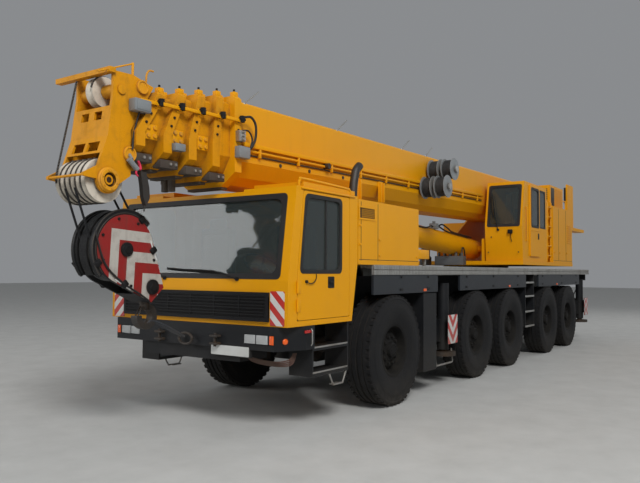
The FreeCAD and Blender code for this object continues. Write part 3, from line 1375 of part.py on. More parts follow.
def make_luff_cylinder():
    """Luffing cylinder: barrel on the turntable, rod with its eye."""
    barrel = Piece("luff_barrel")
    back = -S.luff_barrel_radius
    barrel.turn("XY_Plane", [[
        (back, 0), (back, S.luff_barrel_radius * 0.8), (back + 40, S.luff_barrel_radius),
        (LUFF_LENGTH - S.luff_neck, S.luff_barrel_radius),
        (LUFF_LENGTH - S.luff_neck, S.luff_rod_radius + S.fit_gap),
        (S.luff_rod_inside - 60, S.luff_rod_radius + S.fit_gap), (S.luff_rod_inside - 60, 0),
    ]], "X_Axis")
    hole = ring(0, 0, S.luff_pin_radius + S.fit_gap)
    barrel.cut("XZ_Plane", [hole], 3 * S.luff_barrel_radius)
    foot_x = AXLE_ONE + S.luff_foot_at
    node("luff_barrel", barrel.at(foot_x, 0, S.luff_foot_z, lean=-LUFF_ANGLE))
    rod = Piece("luff_rod")
    rod.turn("XY_Plane", [[
        (S.luff_rod_inside, 0), (S.luff_rod_inside, S.luff_rod_radius),
        (LUFF_LENGTH - 130, S.luff_rod_radius), (LUFF_LENGTH - 130, 0),
    ]], "X_Axis")
    rod.pad("XZ_Plane", [ring(LUFF_LENGTH, 0, 150), ring(LUFF_LENGTH, 0, 72)], 2 * S.lug_inner - 10, middle=True)
    node("luff_rod", rod.at(foot_x, 0, S.luff_foot_z, lean=-LUFF_ANGLE))


def pack_centre(x, z):
    """Place in the part's frame of a point drawn from the foot pin along the boom."""
    lean = math.radians(S.boom_droop.value)
    world_x = AXLE_ONE + S.pivot_at + x * math.cos(lean) + z * math.sin(lean)
    world_z = S.pivot_z - x * math.sin(lean) + z * math.cos(lean)
    return world_x, world_z


def rope_fall(face, across):
    """One rope between the block's sheave and the lower sheaves of the head, on their common tangent."""
    pack_x, pack_z = pack_centre(S.low_sheave_x, S.low_sheave_z)
    block_x = AXLE_ONE + S.hook_sheave_at
    run = pack_x.value - block_x.value
    rise = pack_z.value - S.hook_sheave_z.value
    block_radius = S.hook_sheave_radius.value - S.rope_radius.value / 2
    pack_radius = S.low_sheave_radius.value + S.rope_radius.value + S.fit_gap.value
    distance = math.hypot(run, rise)
    slope = math.atan2(rise, run)
    square = slope - face * (math.pi / 2 - math.asin((block_radius - pack_radius) / distance))
    normal = FreeCAD.Vector(math.cos(square), 0, math.sin(square))
    low = FreeCAD.Vector(block_x.value, across.value, S.hook_sheave_z.value) + normal * block_radius
    high = FreeCAD.Vector(pack_x.value, across.value, pack_z.value) + normal * pack_radius
    fall = DOC.addObject("Part::Feature", "Fall")
    fall.Shape = Part.makeCylinder(S.rope_radius.value, (high - low).Length, low, high - low)
    return fall


# Where the hook block's straight sides leave its round top, below the sheave's centre
TAPER = math.radians(20)


def make_hook_block():
    """Hook block with its sheaves between side plates, and the swivel hook."""
    block = Piece("hook_block_plates")
    rim = S.hook_rim
    low = -S.hook_drop
    outer = 2 * S.hook_half
    inner = 2 * (S.hook_half - S.hook_cheek)
    guard = rim + S.hook_guard
    block.pad("XZ_Plane", [ring(0, 0, guard), ring(0, 0, rim - S.hook_cheek)], outer, middle=True)
    block.cut("XZ_Plane", [rect(-2 * rim, 2 * rim, -2 * rim, as_size(0))], 2 * outer)
    block.pad("XZ_Plane", [ring(0, 0, rim)], outer, middle=True)
    side = rim * math.cos(TAPER)
    shoulder = -rim * math.sin(TAPER)
    block.pad("XZ_Plane", [[(-side, shoulder), (side, shoulder), (S.hook_foot, low), (-S.hook_foot, low)]], outer,
              middle=True)
    floor = low + S.hook_drop / 3
    block.cut("XZ_Plane", [rect(-2 * rim, 2 * rim, floor, 2 * rim)], inner)
    block.pad("XZ_Plane", [ring(0, 0, S.hook_sheave_radius)], inner, middle=True)
    centre_x = AXLE_ONE + S.hook_sheave_at
    block.at(centre_x, 0, S.hook_sheave_z, lean=S.hook_lean)
    lean = math.radians(S.hook_lean.value)
    swivel_x = centre_x - S.hook_pin_drop * math.sin(lean)
    swivel_z = S.hook_sheave_z - S.hook_pin_drop * math.cos(lean)
    bore_z = (swivel_z - 2 * S.hook_foot, swivel_z + S.hook_shank_up + S.fit_gap)
    bore = post(swivel_x, 0, bore_z, S.hook_shank + S.fit_gap)
    falls = [rope_fall(face, lane * S.rope_lane) for face in (1, -1) for lane in (1, -1)]
    node("hook_block", fuse([less(block.body, bore)] + falls))
    hook = Piece("hook")
    bowl = -S.hook_neck - S.hook_bow
    shank_low = -S.hook_neck - S.hook_shank
    hook.pad("XY_Plane", [ring(0, 0, S.hook_shank)], S.hook_shank_up - shank_low, shank_low)
    hook.pad("XZ_Plane", [ring(0, bowl, S.hook_bow), ring(0, bowl, S.hook_throat)], S.hook_wall, middle=True)
    mouth = rect(S.hook_shank / 2, 2 * S.hook_bow, bowl + S.hook_shank / 4, bowl + S.hook_bow)
    hook.cut("XZ_Plane", [mouth], 2 * S.hook_wall)
    node("hook", hook.at(swivel_x, 0, swivel_z))


def check(thing):
    """Stop on a failed feature or an empty or invalid shape."""
    for item in DOC.Objects:
        if {"Invalid", "Error"} & set(item.State):
            raise RuntimeError(f"{item.Name} ({item.Label}) failed: {item.State}")
    if thing.Shape.isNull() or not thing.Shape.isValid():
        raise RuntimeError(f"{thing.Label} has no valid shape")


def main():
    """Build every sub-part and write one file each."""
    make_running_gear()
    make_chassis()
    make_deck()
    make_skirts()
    make_outriggers()
    make_cab()
    make_grille()
    make_bumper()
    make_hood()
    make_steps()
    make_side_boxes()
    make_platform()
    make_crane_cab()
    make_housings()
    make_winch()
    make_boom()
    make_luff_cylinder()
    make_hook_block()
    DOC.recompute()
    os.makedirs("parts", exist_ok=True)
    for thing in NODES:
        check(thing)
    for thing in NODES:
        thing.Shape.exportStep(os.path.join("parts", f"{thing.Label}.step"))
        print(thing.Label, len(thing.Shape.Solids), round(thing.Shape.Volume / 1e9, 4))


main()
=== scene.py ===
"""Mobile crane in road trim: finishes, tyres, glass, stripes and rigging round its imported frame."""

import logging
import math
from dataclasses import dataclass
from enum import Enum
from typing import Iterable, Optional, Sequence

import bmesh
import bpy
from mathutils import Matrix, Vector


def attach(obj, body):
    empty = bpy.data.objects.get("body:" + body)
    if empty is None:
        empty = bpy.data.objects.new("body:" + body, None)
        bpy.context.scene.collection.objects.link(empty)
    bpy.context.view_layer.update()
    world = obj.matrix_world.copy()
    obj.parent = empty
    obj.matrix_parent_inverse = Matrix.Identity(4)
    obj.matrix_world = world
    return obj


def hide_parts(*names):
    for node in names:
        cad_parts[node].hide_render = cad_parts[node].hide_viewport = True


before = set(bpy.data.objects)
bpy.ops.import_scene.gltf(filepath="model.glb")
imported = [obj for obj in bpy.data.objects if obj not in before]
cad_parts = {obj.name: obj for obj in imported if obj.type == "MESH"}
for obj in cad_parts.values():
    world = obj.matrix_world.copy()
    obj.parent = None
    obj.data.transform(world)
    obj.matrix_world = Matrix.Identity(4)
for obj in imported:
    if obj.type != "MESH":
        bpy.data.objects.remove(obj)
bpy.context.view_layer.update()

Point = Sequence[float]
Limits = tuple[float, float]
Colour = tuple[float, float, float]

AXLE_ONE = 3.3875
SIDES = (("left", 1), ("right", -1))
AXLES = ((1, 0.0), (2, -2.78), (3, -4.43), (4, -6.81), (5, -8.46))
LOG = logging.getLogger("crane")


def row(station: float) -> float:
    """Place along the machine of a station measured from the first axle."""
    return AXLE_ONE + station


def beside(side: int, inner: float, outer: float) -> Limits:
    """Limits on one side of the middle plane, in rising order."""
    return (inner, outer) if side > 0 else (-outer, -inner)


def span(start: float, end: float) -> Limits:
    """Limits along the machine between two stations."""
    return (row(start), row(end))


def near(middle: float, reach: float) -> Limits:
    """Limits that reach equally far to both sides of a middle."""
    return (middle - reach, middle + reach)


def side_face(along: Limits, up: Limits, y: float) -> list[Point]:
    """Corners of an upright rectangle on a side face, between two stations and two heights."""
    (rear, front), (low, high) = span(*along), up
    return [(rear, y, low), (front, y, low), (front, y, high), (rear, y, high)]


def front_face(x: float, across: Limits, up: Limits) -> list[Point]:
    """Corners of an upright rectangle that faces ahead."""
    (inner, outer), (low, high) = across, up
    return [(x, inner, low), (x, outer, low), (x, outer, high), (x, inner, high)]


def widened(limits: Limits, by: float) -> Limits:
    """Limits moved outwards at both ends."""
    return (limits[0] - by, limits[1] + by)


def placed(points: Sequence[Point]) -> list[Point]:
    """Points drawn from stations, in the row frame."""
    return [(row(x), y, z) for x, y, z in points]


def cord_route(points: Sequence[Point]) -> list[Vector]:
    """A rounded route through points drawn from stations."""
    return smooth_route(placed(points))


def arc_points(centre: Point, radius: float, start: float, end: float, steps: int) -> list[Vector]:
    """Points on an arc in the upright plane along the machine.

    Args:
        centre: The arc's centre.
        radius: The arc's radius.
        start: First angle in radians, from straight ahead upwards.
        end: Last angle in radians.
        steps: Pieces between the two.

    Returns:
        The points, both ends included.
    """
    angles = [start + (end - start) * k / steps for k in range(steps + 1)]
    return [Vector(centre) + Vector((radius * math.cos(a), 0, radius * math.sin(a))) for a in angles]


def smooth_route(points: Sequence[Point], steps: int = 6) -> list[Vector]:
    """A rounded route through a few points.

    Args:
        points: Places that the route passes.
        steps: Pieces between each two of them.

    Returns:
        The route, from the first point to the last.
    """
    stops = [Vector(p) for p in points]
    padded = [stops[0] * 2 - stops[1], *stops, stops[-1] * 2 - stops[-2]]
    route = [stops[0]]
    for before, start, end, after in zip(padded, padded[1:], padded[2:], padded[3:]):
        for step in range(1, steps + 1):
            t = step / steps
            pull = (end - before) * t + (before * 2 - start * 5 + end * 4 - after) * t * t
            pull += (start * 3 - before - end * 3 + after) * t**3
            route.append(start + pull / 2)
    return route


class Shape:
    """A mesh being made from bmesh operators, in the row frame."""

    def __init__(self) -> None:
        """Start without any faces."""
        self.mesh = bmesh.new()

    def absorb(self, other: bmesh.types.BMesh) -> "Shape":
        """Take over another mesh's faces."""
        passing = bpy.data.meshes.new("passing")
        other.to_mesh(passing)
        other.free()
        self.mesh.from_mesh(passing)
        bpy.data.meshes.remove(passing)
        return self

    def block(self, x: Limits, y: Limits, z: Limits, bevel: float = 0.0) -> "Shape":
        """Add a block.

        Args:
            x: Its limits along the machine.
            y: Its limits across.
            z: Its limits upwards.
            bevel: Rounding of its edges.

        Returns:
            The shape itself.
        """
        part = bmesh.new()
        size = Vector((x[1] - x[0], y[1] - y[0], z[1] - z[0]))
        middle = Vector((x[1] + x[0], y[1] + y[0], z[1] + z[0])) / 2
        place = Matrix.Translation(middle) @ Matrix.Diagonal((*size, 1.0))
        bmesh.ops.create_cube(part, size=1.0, matrix=place)
        if bevel:
            bmesh.ops.bevel(part, geom=part.edges[:], offset=bevel, offset_type="OFFSET", segments=2,
                            profile=0.5, affect="EDGES", material=-1)
        return self.absorb(part)

    def rod(self, start: Point, end: Point, radius: float, sides: int = 14,
            tip: Optional[float] = None) -> "Shape":
        """Add a straight rod or cone.

        Args:
            start: Middle of its first end.
            end: Middle of its other end.
            radius: Its radius, at the first end if it is a cone.
            sides: Flats round it.
            tip: A cone's radius at the other end.

        Returns:
            The shape itself.
        """
        a, b = Vector(start), Vector(end)
        turn = Vector((0, 0, 1)).rotation_difference(b - a).to_matrix().to_4x4()
        bmesh.ops.create_cone(self.mesh, cap_ends=True, segments=sides, radius1=radius,
                              radius2=radius if tip is None else tip, depth=(b - a).length,
                              matrix=Matrix.Translation((a + b) / 2) @ turn)
        return self

    def bolts(self, places: Iterable[Point], facing: Point, radius: float = 0.014,
              height: float = 0.012) -> "Shape":
        """Add hexagon heads.

        Args:
            places: Where they sit.
            facing: The way that they all face.
            radius: Radius over the corners.
            height: Height of a head.

        Returns:
            The shape itself.
        """
        out = Vector(facing).normalized() * height
        for place in places:
            self.rod(place, Vector(place) + out, radius, sides=6)
        return self

    def pipe(self, points: Sequence[Point], radius: float, sides: int = 8) -> "Shape":
        """Add a round pipe along a route.

        Args:
            points: The route's points.
            radius: The pipe's radius.
            sides: Flats round the pipe.

        Returns:
            The shape itself.
        """
        stops = [Vector(p) for p in points]
        last = len(stops) - 1
        ways = [(stops[min(i + 1, last)] - stops[max(i - 1, 0)]).normalized() for i in range(last + 1)]
        part = bmesh.new()
        turn = Vector((0, 0, 1)).rotation_difference(ways[0]).to_matrix().to_4x4()
        bmesh.ops.create_circle(part, cap_ends=True, radius=radius, segments=sides,
                                matrix=Matrix.Translation(stops[0]) @ turn)
        edges = part.edges[:]
        for i in range(1, last + 1):
            made = bmesh.ops.extrude_edge_only(part, edges=edges)["geom"]
            verts = {g for g in made if isinstance(g, bmesh.types.BMVert)}
            edges = [g for g in made if isinstance(g, bmesh.types.BMEdge) and set(g.verts) <= verts]
            swing = ways[i - 1].rotation_difference(ways[i]).to_matrix().to_4x4()
            move = Matrix.Translation(stops[i]) @ swing @ Matrix.Translation(-stops[i - 1])
            bmesh.ops.transform(part, matrix=move, verts=list(verts))
        bmesh.ops.contextual_create(part, geom=edges)
        return self.absorb(part)

    def lathe(self, profile: Sequence[tuple[float, float]], centre: Point, axis: Point,
              steps: int = 48) -> "Shape":
        """Add a turned body.

        Args:
            profile: Radius and place along the axis of each point, from the axis or as a closed ring.
            centre: Where the axis passes.
            axis: The axis's direction.
            steps: Flats round the axis.

        Returns:
            The shape itself.
        """
        part = bmesh.new()
        way, middle = Vector(axis).normalized(), Vector(centre)
        across = way.orthogonal().normalized()
        verts = [part.verts.new(middle + way * u + across * r) for r, u in profile]
        edges = [part.edges.new(pair) for pair in zip(verts, verts[1:])]
        bmesh.ops.spin(part, geom=verts + edges, cent=middle, axis=way, angle=2 * math.pi, steps=steps,
                       use_merge=True)
        bmesh.ops.remove_doubles(part, verts=part.verts[:], dist=1e-5)
        return self.absorb(part)

    def plate(self, corners: Sequence[Point], depth: Point, rounding: float = 0.0) -> "Shape":
        """Add a flat plate.

        Args:
            corners: Corners of one face.
            depth: Direction and thickness of the plate.
            rounding: Rounding of the corners.

        Returns:
            The shape itself.
        """
        part = rounded_face(corners, rounding)
        thicken(part, depth)
        return self.absorb(part)

    def surround(self, outer: Sequence[Point], inner: Sequence[Point], depth: Point,
                 outer_round: float, inner_round: float) -> "Shape":
        """Add a flat frame between two outlines with the same number of corners.

        Args:
            outer: Outer corners.
            inner: Inner corners, in the same order.
            depth: Direction and thickness of the frame.
            outer_round: Rounding of the outer corners.
            inner_round: Rounding of the inner corners.

        Returns:
            The shape itself.
        """
        part = rounded_face(outer, outer_round)
        hole = bpy.data.meshes.new("hole")
        inside = rounded_face(inner, inner_round)
        inside.to_mesh(hole)
        inside.free()
        part.from_mesh(hole)
        bpy.data.meshes.remove(hole)
        bmesh.ops.delete(part, geom=part.faces[:], context="FACES_ONLY")
        bmesh.ops.bridge_loops(part, edges=part.edges[:])
        thicken(part, depth)
        return self.absorb(part)

    def tidy(self) -> "Shape":
        """Point every face outwards."""
        bmesh.ops.recalc_face_normals(self.mesh, faces=self.mesh.faces[:])
        return self


def rounded_face(corners: Sequence[Point], rounding: float) -> bmesh.types.BMesh:
    """Make one flat face with its corners rounded.

    Args:
        corners: Its corners, in order.
        rounding: How far the rounding starts from a corner.

    Returns:
        A mesh with that face.
    """
    part = bmesh.new()
    part.faces.new([part.verts.new(Vector(c)) for c in corners])
    if rounding:
        bmesh.ops.bevel(part, geom=part.verts[:], offset=rounding, offset_type="OFFSET", segments=5,
                        profile=0.5, affect="VERTICES", material=-1)
    return part


def thicken(part: bmesh.types.BMesh, depth: Point) -> None:
    """Give a flat mesh its thickness.

    Args:
        part: The mesh.
        depth: Direction and thickness.
    """
    made = bmesh.ops.extrude_face_region(part, geom=part.faces[:])["geom"]
    verts = [g for g in made if isinstance(g, bmesh.types.BMVert)]
    bmesh.ops.translate(part, vec=Vector(depth), verts=verts)


class Sketchpad:
    """A node tree with short calls to add and join nodes."""

    def __init__(self, tree: bpy.types.NodeTree) -> None:
        """Take over a node tree and empty it."""
        self.tree = tree
        tree.nodes.clear()

    def add(self, kind: str, inputs: Optional[dict] = None, **settings: object) -> bpy.types.Node:
        """Add a node.

        Args:
            kind: The node's type.
            inputs: Values or other nodes' sockets for its inputs, by name or number.
            **settings: The node's own properties.

        Returns:
            The node.
        """
        made = self.tree.nodes.new(kind)
        for name, value in settings.items():
            setattr(made, name, value)
        for name, value in (inputs or {}).items():
            if isinstance(value, bpy.types.NodeSocket):
                self.tree.links.new(value, made.inputs[name])
            else:
                made.inputs[name].default_value = value
        return made

    def compute(self, kind: str, *values: object) -> bpy.types.NodeSocket:
        """A Math node's result."""
        return self.add("ShaderNodeMath", dict(enumerate(values)), operation=kind).outputs[0]

    def spread(self, value: object, low: float, high: float, to_low: float = 0.0,
               to_high: float = 1.0) -> bpy.types.NodeSocket:
        """A value moved from one range to another and held there."""
        limits = {0: value, 1: low, 2: high, 3: to_low, 4: to_high}
        return self.add("ShaderNodeMapRange", limits, clamp=True).outputs[0]


def new_group(name: str, inputs: Sequence[tuple[str, str, object]],
              outputs: Sequence[tuple[str, str]]) -> tuple[Sketchpad, bpy.types.Node, bpy.types.Node]:
    """Start a shader node group with named sockets.

    Args:
        name: The group's name.
        inputs: Name, socket type and default value of each input.
        outputs: Name and socket type of each output.

    Returns:
        The group's tree, its input node and its output node.
    """
    tree = bpy.data.node_groups.new(name, "ShaderNodeTree")
    for label, kind, value in inputs:
        tree.interface.new_socket(label, in_out="INPUT", socket_type=kind).default_value = value
    for label, kind in outputs:
        tree.interface.new_socket(label, in_out="OUTPUT", socket_type=kind)
    pad = Sketchpad(tree)
    return pad, pad.add("NodeGroupInput"), pad.add("NodeGroupOutput")


def soiling_and_shade_group() -> bpy.types.NodeTree:
    """Road dust, blotches and rain streaks over a colour, painted shade that darkens creases and the gaps
    between parts, and a fine paint relief.
    """
    pad, given, result = new_group(
        "road_soiling_and_shade",
        [("Colour", "NodeSocketColor", (0.5, 0.5, 0.5, 1)), ("Dirt_And_Shade", "NodeSocketColor", (0.2, 0.17, 0.13, 1)),
         ("Amount", "NodeSocketFloat", 0.2), ("Scale", "NodeSocketFloat", 2.0),
         ("Dust_Top", "NodeSocketFloat", 1.2), ("Grain", "NodeSocketFloat", 120.0)],
        [("Colour", "NodeSocketColor"), ("Mask", "NodeSocketFloat"), ("Height", "NodeSocketFloat")])
    place = pad.add("ShaderNodeTexCoord").outputs["Object"]
    blotch = pad.add("ShaderNodeTexNoise", {"Vector": place, "Scale": given.outputs["Scale"], "Detail": 7.0,
                                            "Roughness": 0.62}).outputs[0]
    drawn = pad.add("ShaderNodeMapping", {"Vector": place, "Scale": (9.0, 9.0, 0.7)}).outputs[0]
    streak = pad.add("ShaderNodeTexNoise", {"Vector": drawn, "Scale": 1.6, "Detail": 5.0}).outputs[0]
    height = pad.add("ShaderNodeSeparateXYZ", {0: place}).outputs[2]
    fade = pad.compute("DIVIDE", height, given.outputs["Dust_Top"])
    low = pad.spread(fade, 0.1, 1.0, 1.0, 0.0)
    dusty = pad.compute("MULTIPLY", low, pad.spread(blotch, 0.25, 0.7, 0.25, 0.9))
    spots = pad.compute("ADD", pad.spread(blotch, 0.5, 0.78), pad.spread(streak, 0.55, 0.8, 0.0, 0.7))
    # Painted shade: ambient occlusion darkens creases, recesses and the gaps between parts with the dirt
    # colour, as shadow would.
    shade_occlusion = pad.add("ShaderNodeAmbientOcclusion", {"Distance": 0.16}, samples=6).outputs["AO"]
    corners = pad.compute("MULTIPLY", pad.spread(shade_occlusion, 0.35, 0.85, 1.6, 0.0),
                          pad.spread(blotch, 0.2, 0.75, 0.5, 1.3))
    soiled_and_shaded = pad.compute("MULTIPLY", pad.compute("ADD", spots, corners), given.outputs["Amount"])
    mask = pad.add("ShaderNodeMath", {0: soiled_and_shaded, 1: dusty}, operation="ADD", use_clamp=True).outputs[0]
    blend = pad.add("ShaderNodeMix", {"Factor": mask, 6: given.outputs["Colour"], 7: given.outputs["Dirt_And_Shade"]},
                    data_type="RGBA").outputs[2]
    peel = pad.add("ShaderNodeTexNoise", {"Vector": place, "Scale": given.outputs["Grain"],
                                          "Detail": 3.0}).outputs[0]
    for name, socket in (("Colour", blend), ("Mask", mask), ("Height", pad.compute("ADD", peel, mask))):
        pad.tree.links.new(socket, result.inputs[name])
    return pad.tree


def stripe_group() -> bpy.types.NodeTree:
    """Slanting warning stripes, mirrored about a centre."""
    pad, given, result = new_group(
        "warning_stripes",
        [("Centre", "NodeSocketVector", (0, 0, 0)), ("Slope", "NodeSocketVector", (0, 1, 1)),
         ("Pitch", "NodeSocketFloat", 0.2)], [("Mask", "NodeSocketFloat")])
    place = pad.add("ShaderNodeTexCoord").outputs["Object"]
    moved = pad.add("ShaderNodeVectorMath", {0: place, 1: given.outputs["Centre"]}, operation="SUBTRACT")
    parts = pad.add("ShaderNodeSeparateXYZ", {0: moved.outputs[0]})
    along_x, along_y = (pad.compute("ABSOLUTE", parts.outputs[axis]) for axis in (0, 1))
    folded = pad.add("ShaderNodeCombineXYZ", {0: along_x, 1: along_y, 2: parts.outputs[2]})
    along = pad.add("ShaderNodeVectorMath", {0: folded.outputs[0], 1: given.outputs["Slope"]},
                    operation="DOT_PRODUCT").outputs["Value"]
    share = pad.compute("FRACT", pad.compute("DIVIDE", along, given.outputs["Pitch"]))
    pad.tree.links.new(pad.compute("GREATER_THAN", share, 0.5), result.inputs[0])
    return pad.tree


def chevron_group() -> bpy.types.NodeTree:
    """Nested chevrons that point up a leaning plate."""
    pad, given, result = new_group(
        "chevron_bands",
        [("Centre", "NodeSocketVector", (0, 0, 0)), ("Lean", "NodeSocketFloat", 0.4),
         ("Edge", "NodeSocketFloat", 0.3), ("Pitch", "NodeSocketFloat", 0.2)], [("Mask", "NodeSocketFloat")])
    place = pad.add("ShaderNodeTexCoord").outputs["Object"]
    moved = pad.add("ShaderNodeVectorMath", {0: place, 1: given.outputs["Centre"]}, operation="SUBTRACT")
    turned = pad.add("ShaderNodeVectorRotate", {"Vector": moved.outputs[0], "Angle": given.outputs["Lean"]},
                     rotation_type="Y_AXIS", invert=True)
    parts = pad.add("ShaderNodeSeparateXYZ", {0: turned.outputs[0]})
    height = pad.compute("ADD", parts.outputs[2], pad.compute("ABSOLUTE", parts.outputs[0]))
    below = pad.compute("SUBTRACT", given.outputs["Edge"], height)
    share = pad.compute("FRACT", pad.compute("DIVIDE", below, given.outputs["Pitch"]))
    band = pad.compute("LESS_THAN", share, 0.5)
    inside = pad.compute("GREATER_THAN", below, 0.0)
    pad.tree.links.new(pad.compute("MULTIPLY", band, inside), result.inputs[0])
    return pad.tree


def tread_group() -> bpy.types.NodeTree:
    """Raised lozenges of chequer plate as a height."""
    pad, given, result = new_group("chequer_relief", [("Scale", "NodeSocketFloat", 30.0)],
                                   [("Height", "NodeSocketFloat")])
    place = pad.add("ShaderNodeTexCoord").outputs["Object"]
    waves = []
    for angle in (math.radians(45), math.radians(-45)):
        turned = pad.add("ShaderNodeMapping", {"Vector": place, "Rotation": (0, 0, angle)}).outputs[0]
        waves.append(pad.add("ShaderNodeTexWave", {"Vector": turned, "Scale": given.outputs["Scale"]},
                             bands_direction="X").outputs["Fac"])
    both = pad.compute("MULTIPLY", *waves)
    pad.tree.links.new(pad.spread(both, 0.45, 0.7), result.inputs[0])
    return pad.tree


class Pattern(Enum):
    """What breaks up a finish's colour or relief."""

    PLAIN = "plain"
    STRIPES = "stripes"
    CHEVRONS = "chevrons"
    CHEQUER = "chequer"
    STRANDS = "strands"


GROUPS = {
    "soiling_and_shade": soiling_and_shade_group(),
    "stripes": stripe_group(),
    "chevrons": chevron_group(),
    "chequer": tread_group(),
}
CHEVRON_TIP = 0.265
LOZENGE_SCALE = 9.0
STRAND_SCALE = 26.0
DUST_ROUGHNESS = 0.35
COAT_ROUGHNESS = 0.12


@dataclass(frozen=True)
class Finish:
    """One surface finish, with its colour, gloss, soiling, painted crevice shade and relief."""

    name: str
    colour: Colour
    rough: float
    metal: float = 0.0
    coat: float = 0.0
    gloss: float = 0.5
    # Colour and amount of the dirt; the same colour and amount also paint shade into creases and the gaps
    # between parts.
    dirt_and_shade: Colour = (0.17, 0.14, 0.105)
    soiled_and_shaded: float = 0.16
    scale: float = 2.2
    dust_top: float = 1.15
    grain: float = 140.0
    relief: float = 0.06
    pattern: Pattern = Pattern.PLAIN
    second: Colour = (0.75, 0.73, 0.7)
    centre: Colour = (0.0, 0.0, 0.0)
    slope: Colour = (0.0, 1.0, 1.0)
    pitch: float = 0.2
    lean: float = 0.0
    clear: float = 0.0

    def base(self, pad: Sketchpad) -> object:
        """Find the colour before dust and painted crevice shade.

        Args:
            pad: The material's node tree.

        Returns:
            A plain colour, or the socket of two colours mixed by the pattern's mask.
        """
        if self.pattern not in (Pattern.STRIPES, Pattern.CHEVRONS):
            return (*self.colour, 1.0)
        inputs: dict = {"Centre": self.centre, "Pitch": self.pitch}
        if self.pattern is Pattern.STRIPES:
            inputs["Slope"] = self.slope
        else:
            inputs.update({"Lean": self.lean, "Edge": CHEVRON_TIP})
        bands = pad.add("ShaderNodeGroup", node_tree=GROUPS[self.pattern.value])
        for name, value in inputs.items():
            bands.inputs[name].default_value = value
        return pad.add("ShaderNodeMix", {"Factor": bands.outputs[0], 6: (*self.colour, 1.0),
                                         7: (*self.second, 1.0)}, data_type="RGBA").outputs[2]

    def bump(self, pad: Sketchpad, height: bpy.types.NodeSocket) -> bpy.types.NodeSocket:
        """Make the normal from the paint's grain and the pattern's own relief.

        Args:
            pad: The material's node tree.
            height: The grain's height.

        Returns:
            The Bump node's normal.
        """
        if self.pattern is Pattern.CHEQUER:
            raised = pad.add("ShaderNodeGroup", {}, node_tree=GROUPS["chequer"])
            raised.inputs["Scale"].default_value = LOZENGE_SCALE
            height = pad.compute("ADD", pad.compute("MULTIPLY", height, 0.15), raised.outputs[0])
        if self.pattern is Pattern.STRANDS:
            place = pad.add("ShaderNodeTexCoord").outputs["Object"]
            lay = pad.add("ShaderNodeTexWave", {"Vector": place, "Scale": STRAND_SCALE},
                          bands_direction="DIAGONAL")
            height = pad.compute("ADD", height, pad.compute("MULTIPLY", lay.outputs["Fac"], 2.0))
        return pad.add("ShaderNodeBump", {"Height": height, "Strength": 0.6,
                                          "Distance": self.relief / 10}).outputs[0]

    def build(self) -> bpy.types.Material:
        """Make the material.

        Returns:
            A node material that reads Object coordinates only.
        """
        material = bpy.data.materials.new(self.name)
        material.use_nodes = True
        pad = Sketchpad(material.node_tree)
        shader = pad.add("ShaderNodeBsdfPrincipled")
        soil_and_shade = pad.add("ShaderNodeGroup", node_tree=GROUPS["soiling_and_shade"])
        start = self.base(pad)
        if isinstance(start, bpy.types.NodeSocket):
            pad.tree.links.new(start, soil_and_shade.inputs["Colour"])
        else:
            soil_and_shade.inputs["Colour"].default_value = start
        for name, value in (("Dirt_And_Shade", (*self.dirt_and_shade, 1.0)), ("Amount", self.soiled_and_shaded), ("Scale", self.scale),
                            ("Dust_Top", self.dust_top), ("Grain", self.grain)):
            soil_and_shade.inputs[name].default_value = value
        rough = pad.compute("MULTIPLY_ADD", soil_and_shade.outputs["Mask"], DUST_ROUGHNESS, self.rough)
        for socket, name in ((soil_and_shade.outputs["Colour"], "Base Color"), (rough, "Roughness"),
                             (self.bump(pad, soil_and_shade.outputs["Height"]), "Normal")):
            pad.tree.links.new(socket, shader.inputs[name])
        shader.inputs["Metallic"].default_value = self.metal
        shader.inputs["Coat Weight"].default_value = self.coat
        shader.inputs["Specular IOR Level"].default_value = self.gloss
        shader.inputs["Coat Roughness"].default_value = COAT_ROUGHNESS
        shader.inputs["Transmission Weight"].default_value = self.clear
        out = pad.add("ShaderNodeOutputMaterial")
        pad.tree.links.new(shader.outputs[0], out.inputs[0])
        return material


CRANE_YELLOW = (0.86, 0.375, 0.0)
# Dirt colour of the yellow paint, also the colour of its painted shade in creases and gaps.
YELLOW_DUST_AND_SHADE = (0.17, 0.12, 0.06)
YELLOW = Finish("yellow_enamel", CRANE_YELLOW, 0.42, coat=0.03, gloss=0.2, soiled_and_shaded=0.06, dirt_and_shade=YELLOW_DUST_AND_SHADE)
BOOM_YELLOW = Finish("boom_enamel", CRANE_YELLOW, 0.48, coat=0.02, gloss=0.2, soiled_and_shaded=0.08, scale=1.4,
                     dirt_and_shade=YELLOW_DUST_AND_SHADE)
# Collar sections carry heavier dirt, and with it darker painted shade in the gaps between the collars.
COLLAR_YELLOW = Finish("collar_enamel", (0.76, 0.315, 0.0), 0.5, gloss=0.25, soiled_and_shaded=0.34, scale=7.0,
                       dirt_and_shade=(0.13, 0.065, 0.02))
PALE_YELLOW = Finish("head_enamel", (0.80, 0.345, 0.004), 0.5, gloss=0.3, soiled_and_shaded=0.3, scale=5.0)
CARRIER = Finish("carrier_enamel", (0.008, 0.009, 0.011), 0.5, soiled_and_shaded=0.18, dust_top=0.9,
                 dirt_and_shade=(0.05, 0.044, 0.036), gloss=0.3)
SKIRT = Finish("skirt_enamel", (0.016, 0.020, 0.026), 0.42, coat=0.1, soiled_and_shaded=0.14,
               dirt_and_shade=(0.06, 0.055, 0.048), gloss=0.4)
BLACK = Finish("black_plastic", (0.006, 0.006, 0.007), 0.5, soiled_and_shaded=0.14, grain=420.0, relief=0.1,
               dirt_and_shade=(0.05, 0.045, 0.04), gloss=0.3)
RUBBER = Finish("tyre_rubber", (0.010, 0.010, 0.011), 0.78, soiled_and_shaded=0.3, scale=6.0, dust_top=0.45, relief=0.2,
                dirt_and_shade=(0.045, 0.040, 0.034), gloss=0.3)
SEAL = Finish("seal_rubber", (0.012, 0.012, 0.013), 0.6, soiled_and_shaded=0.1)
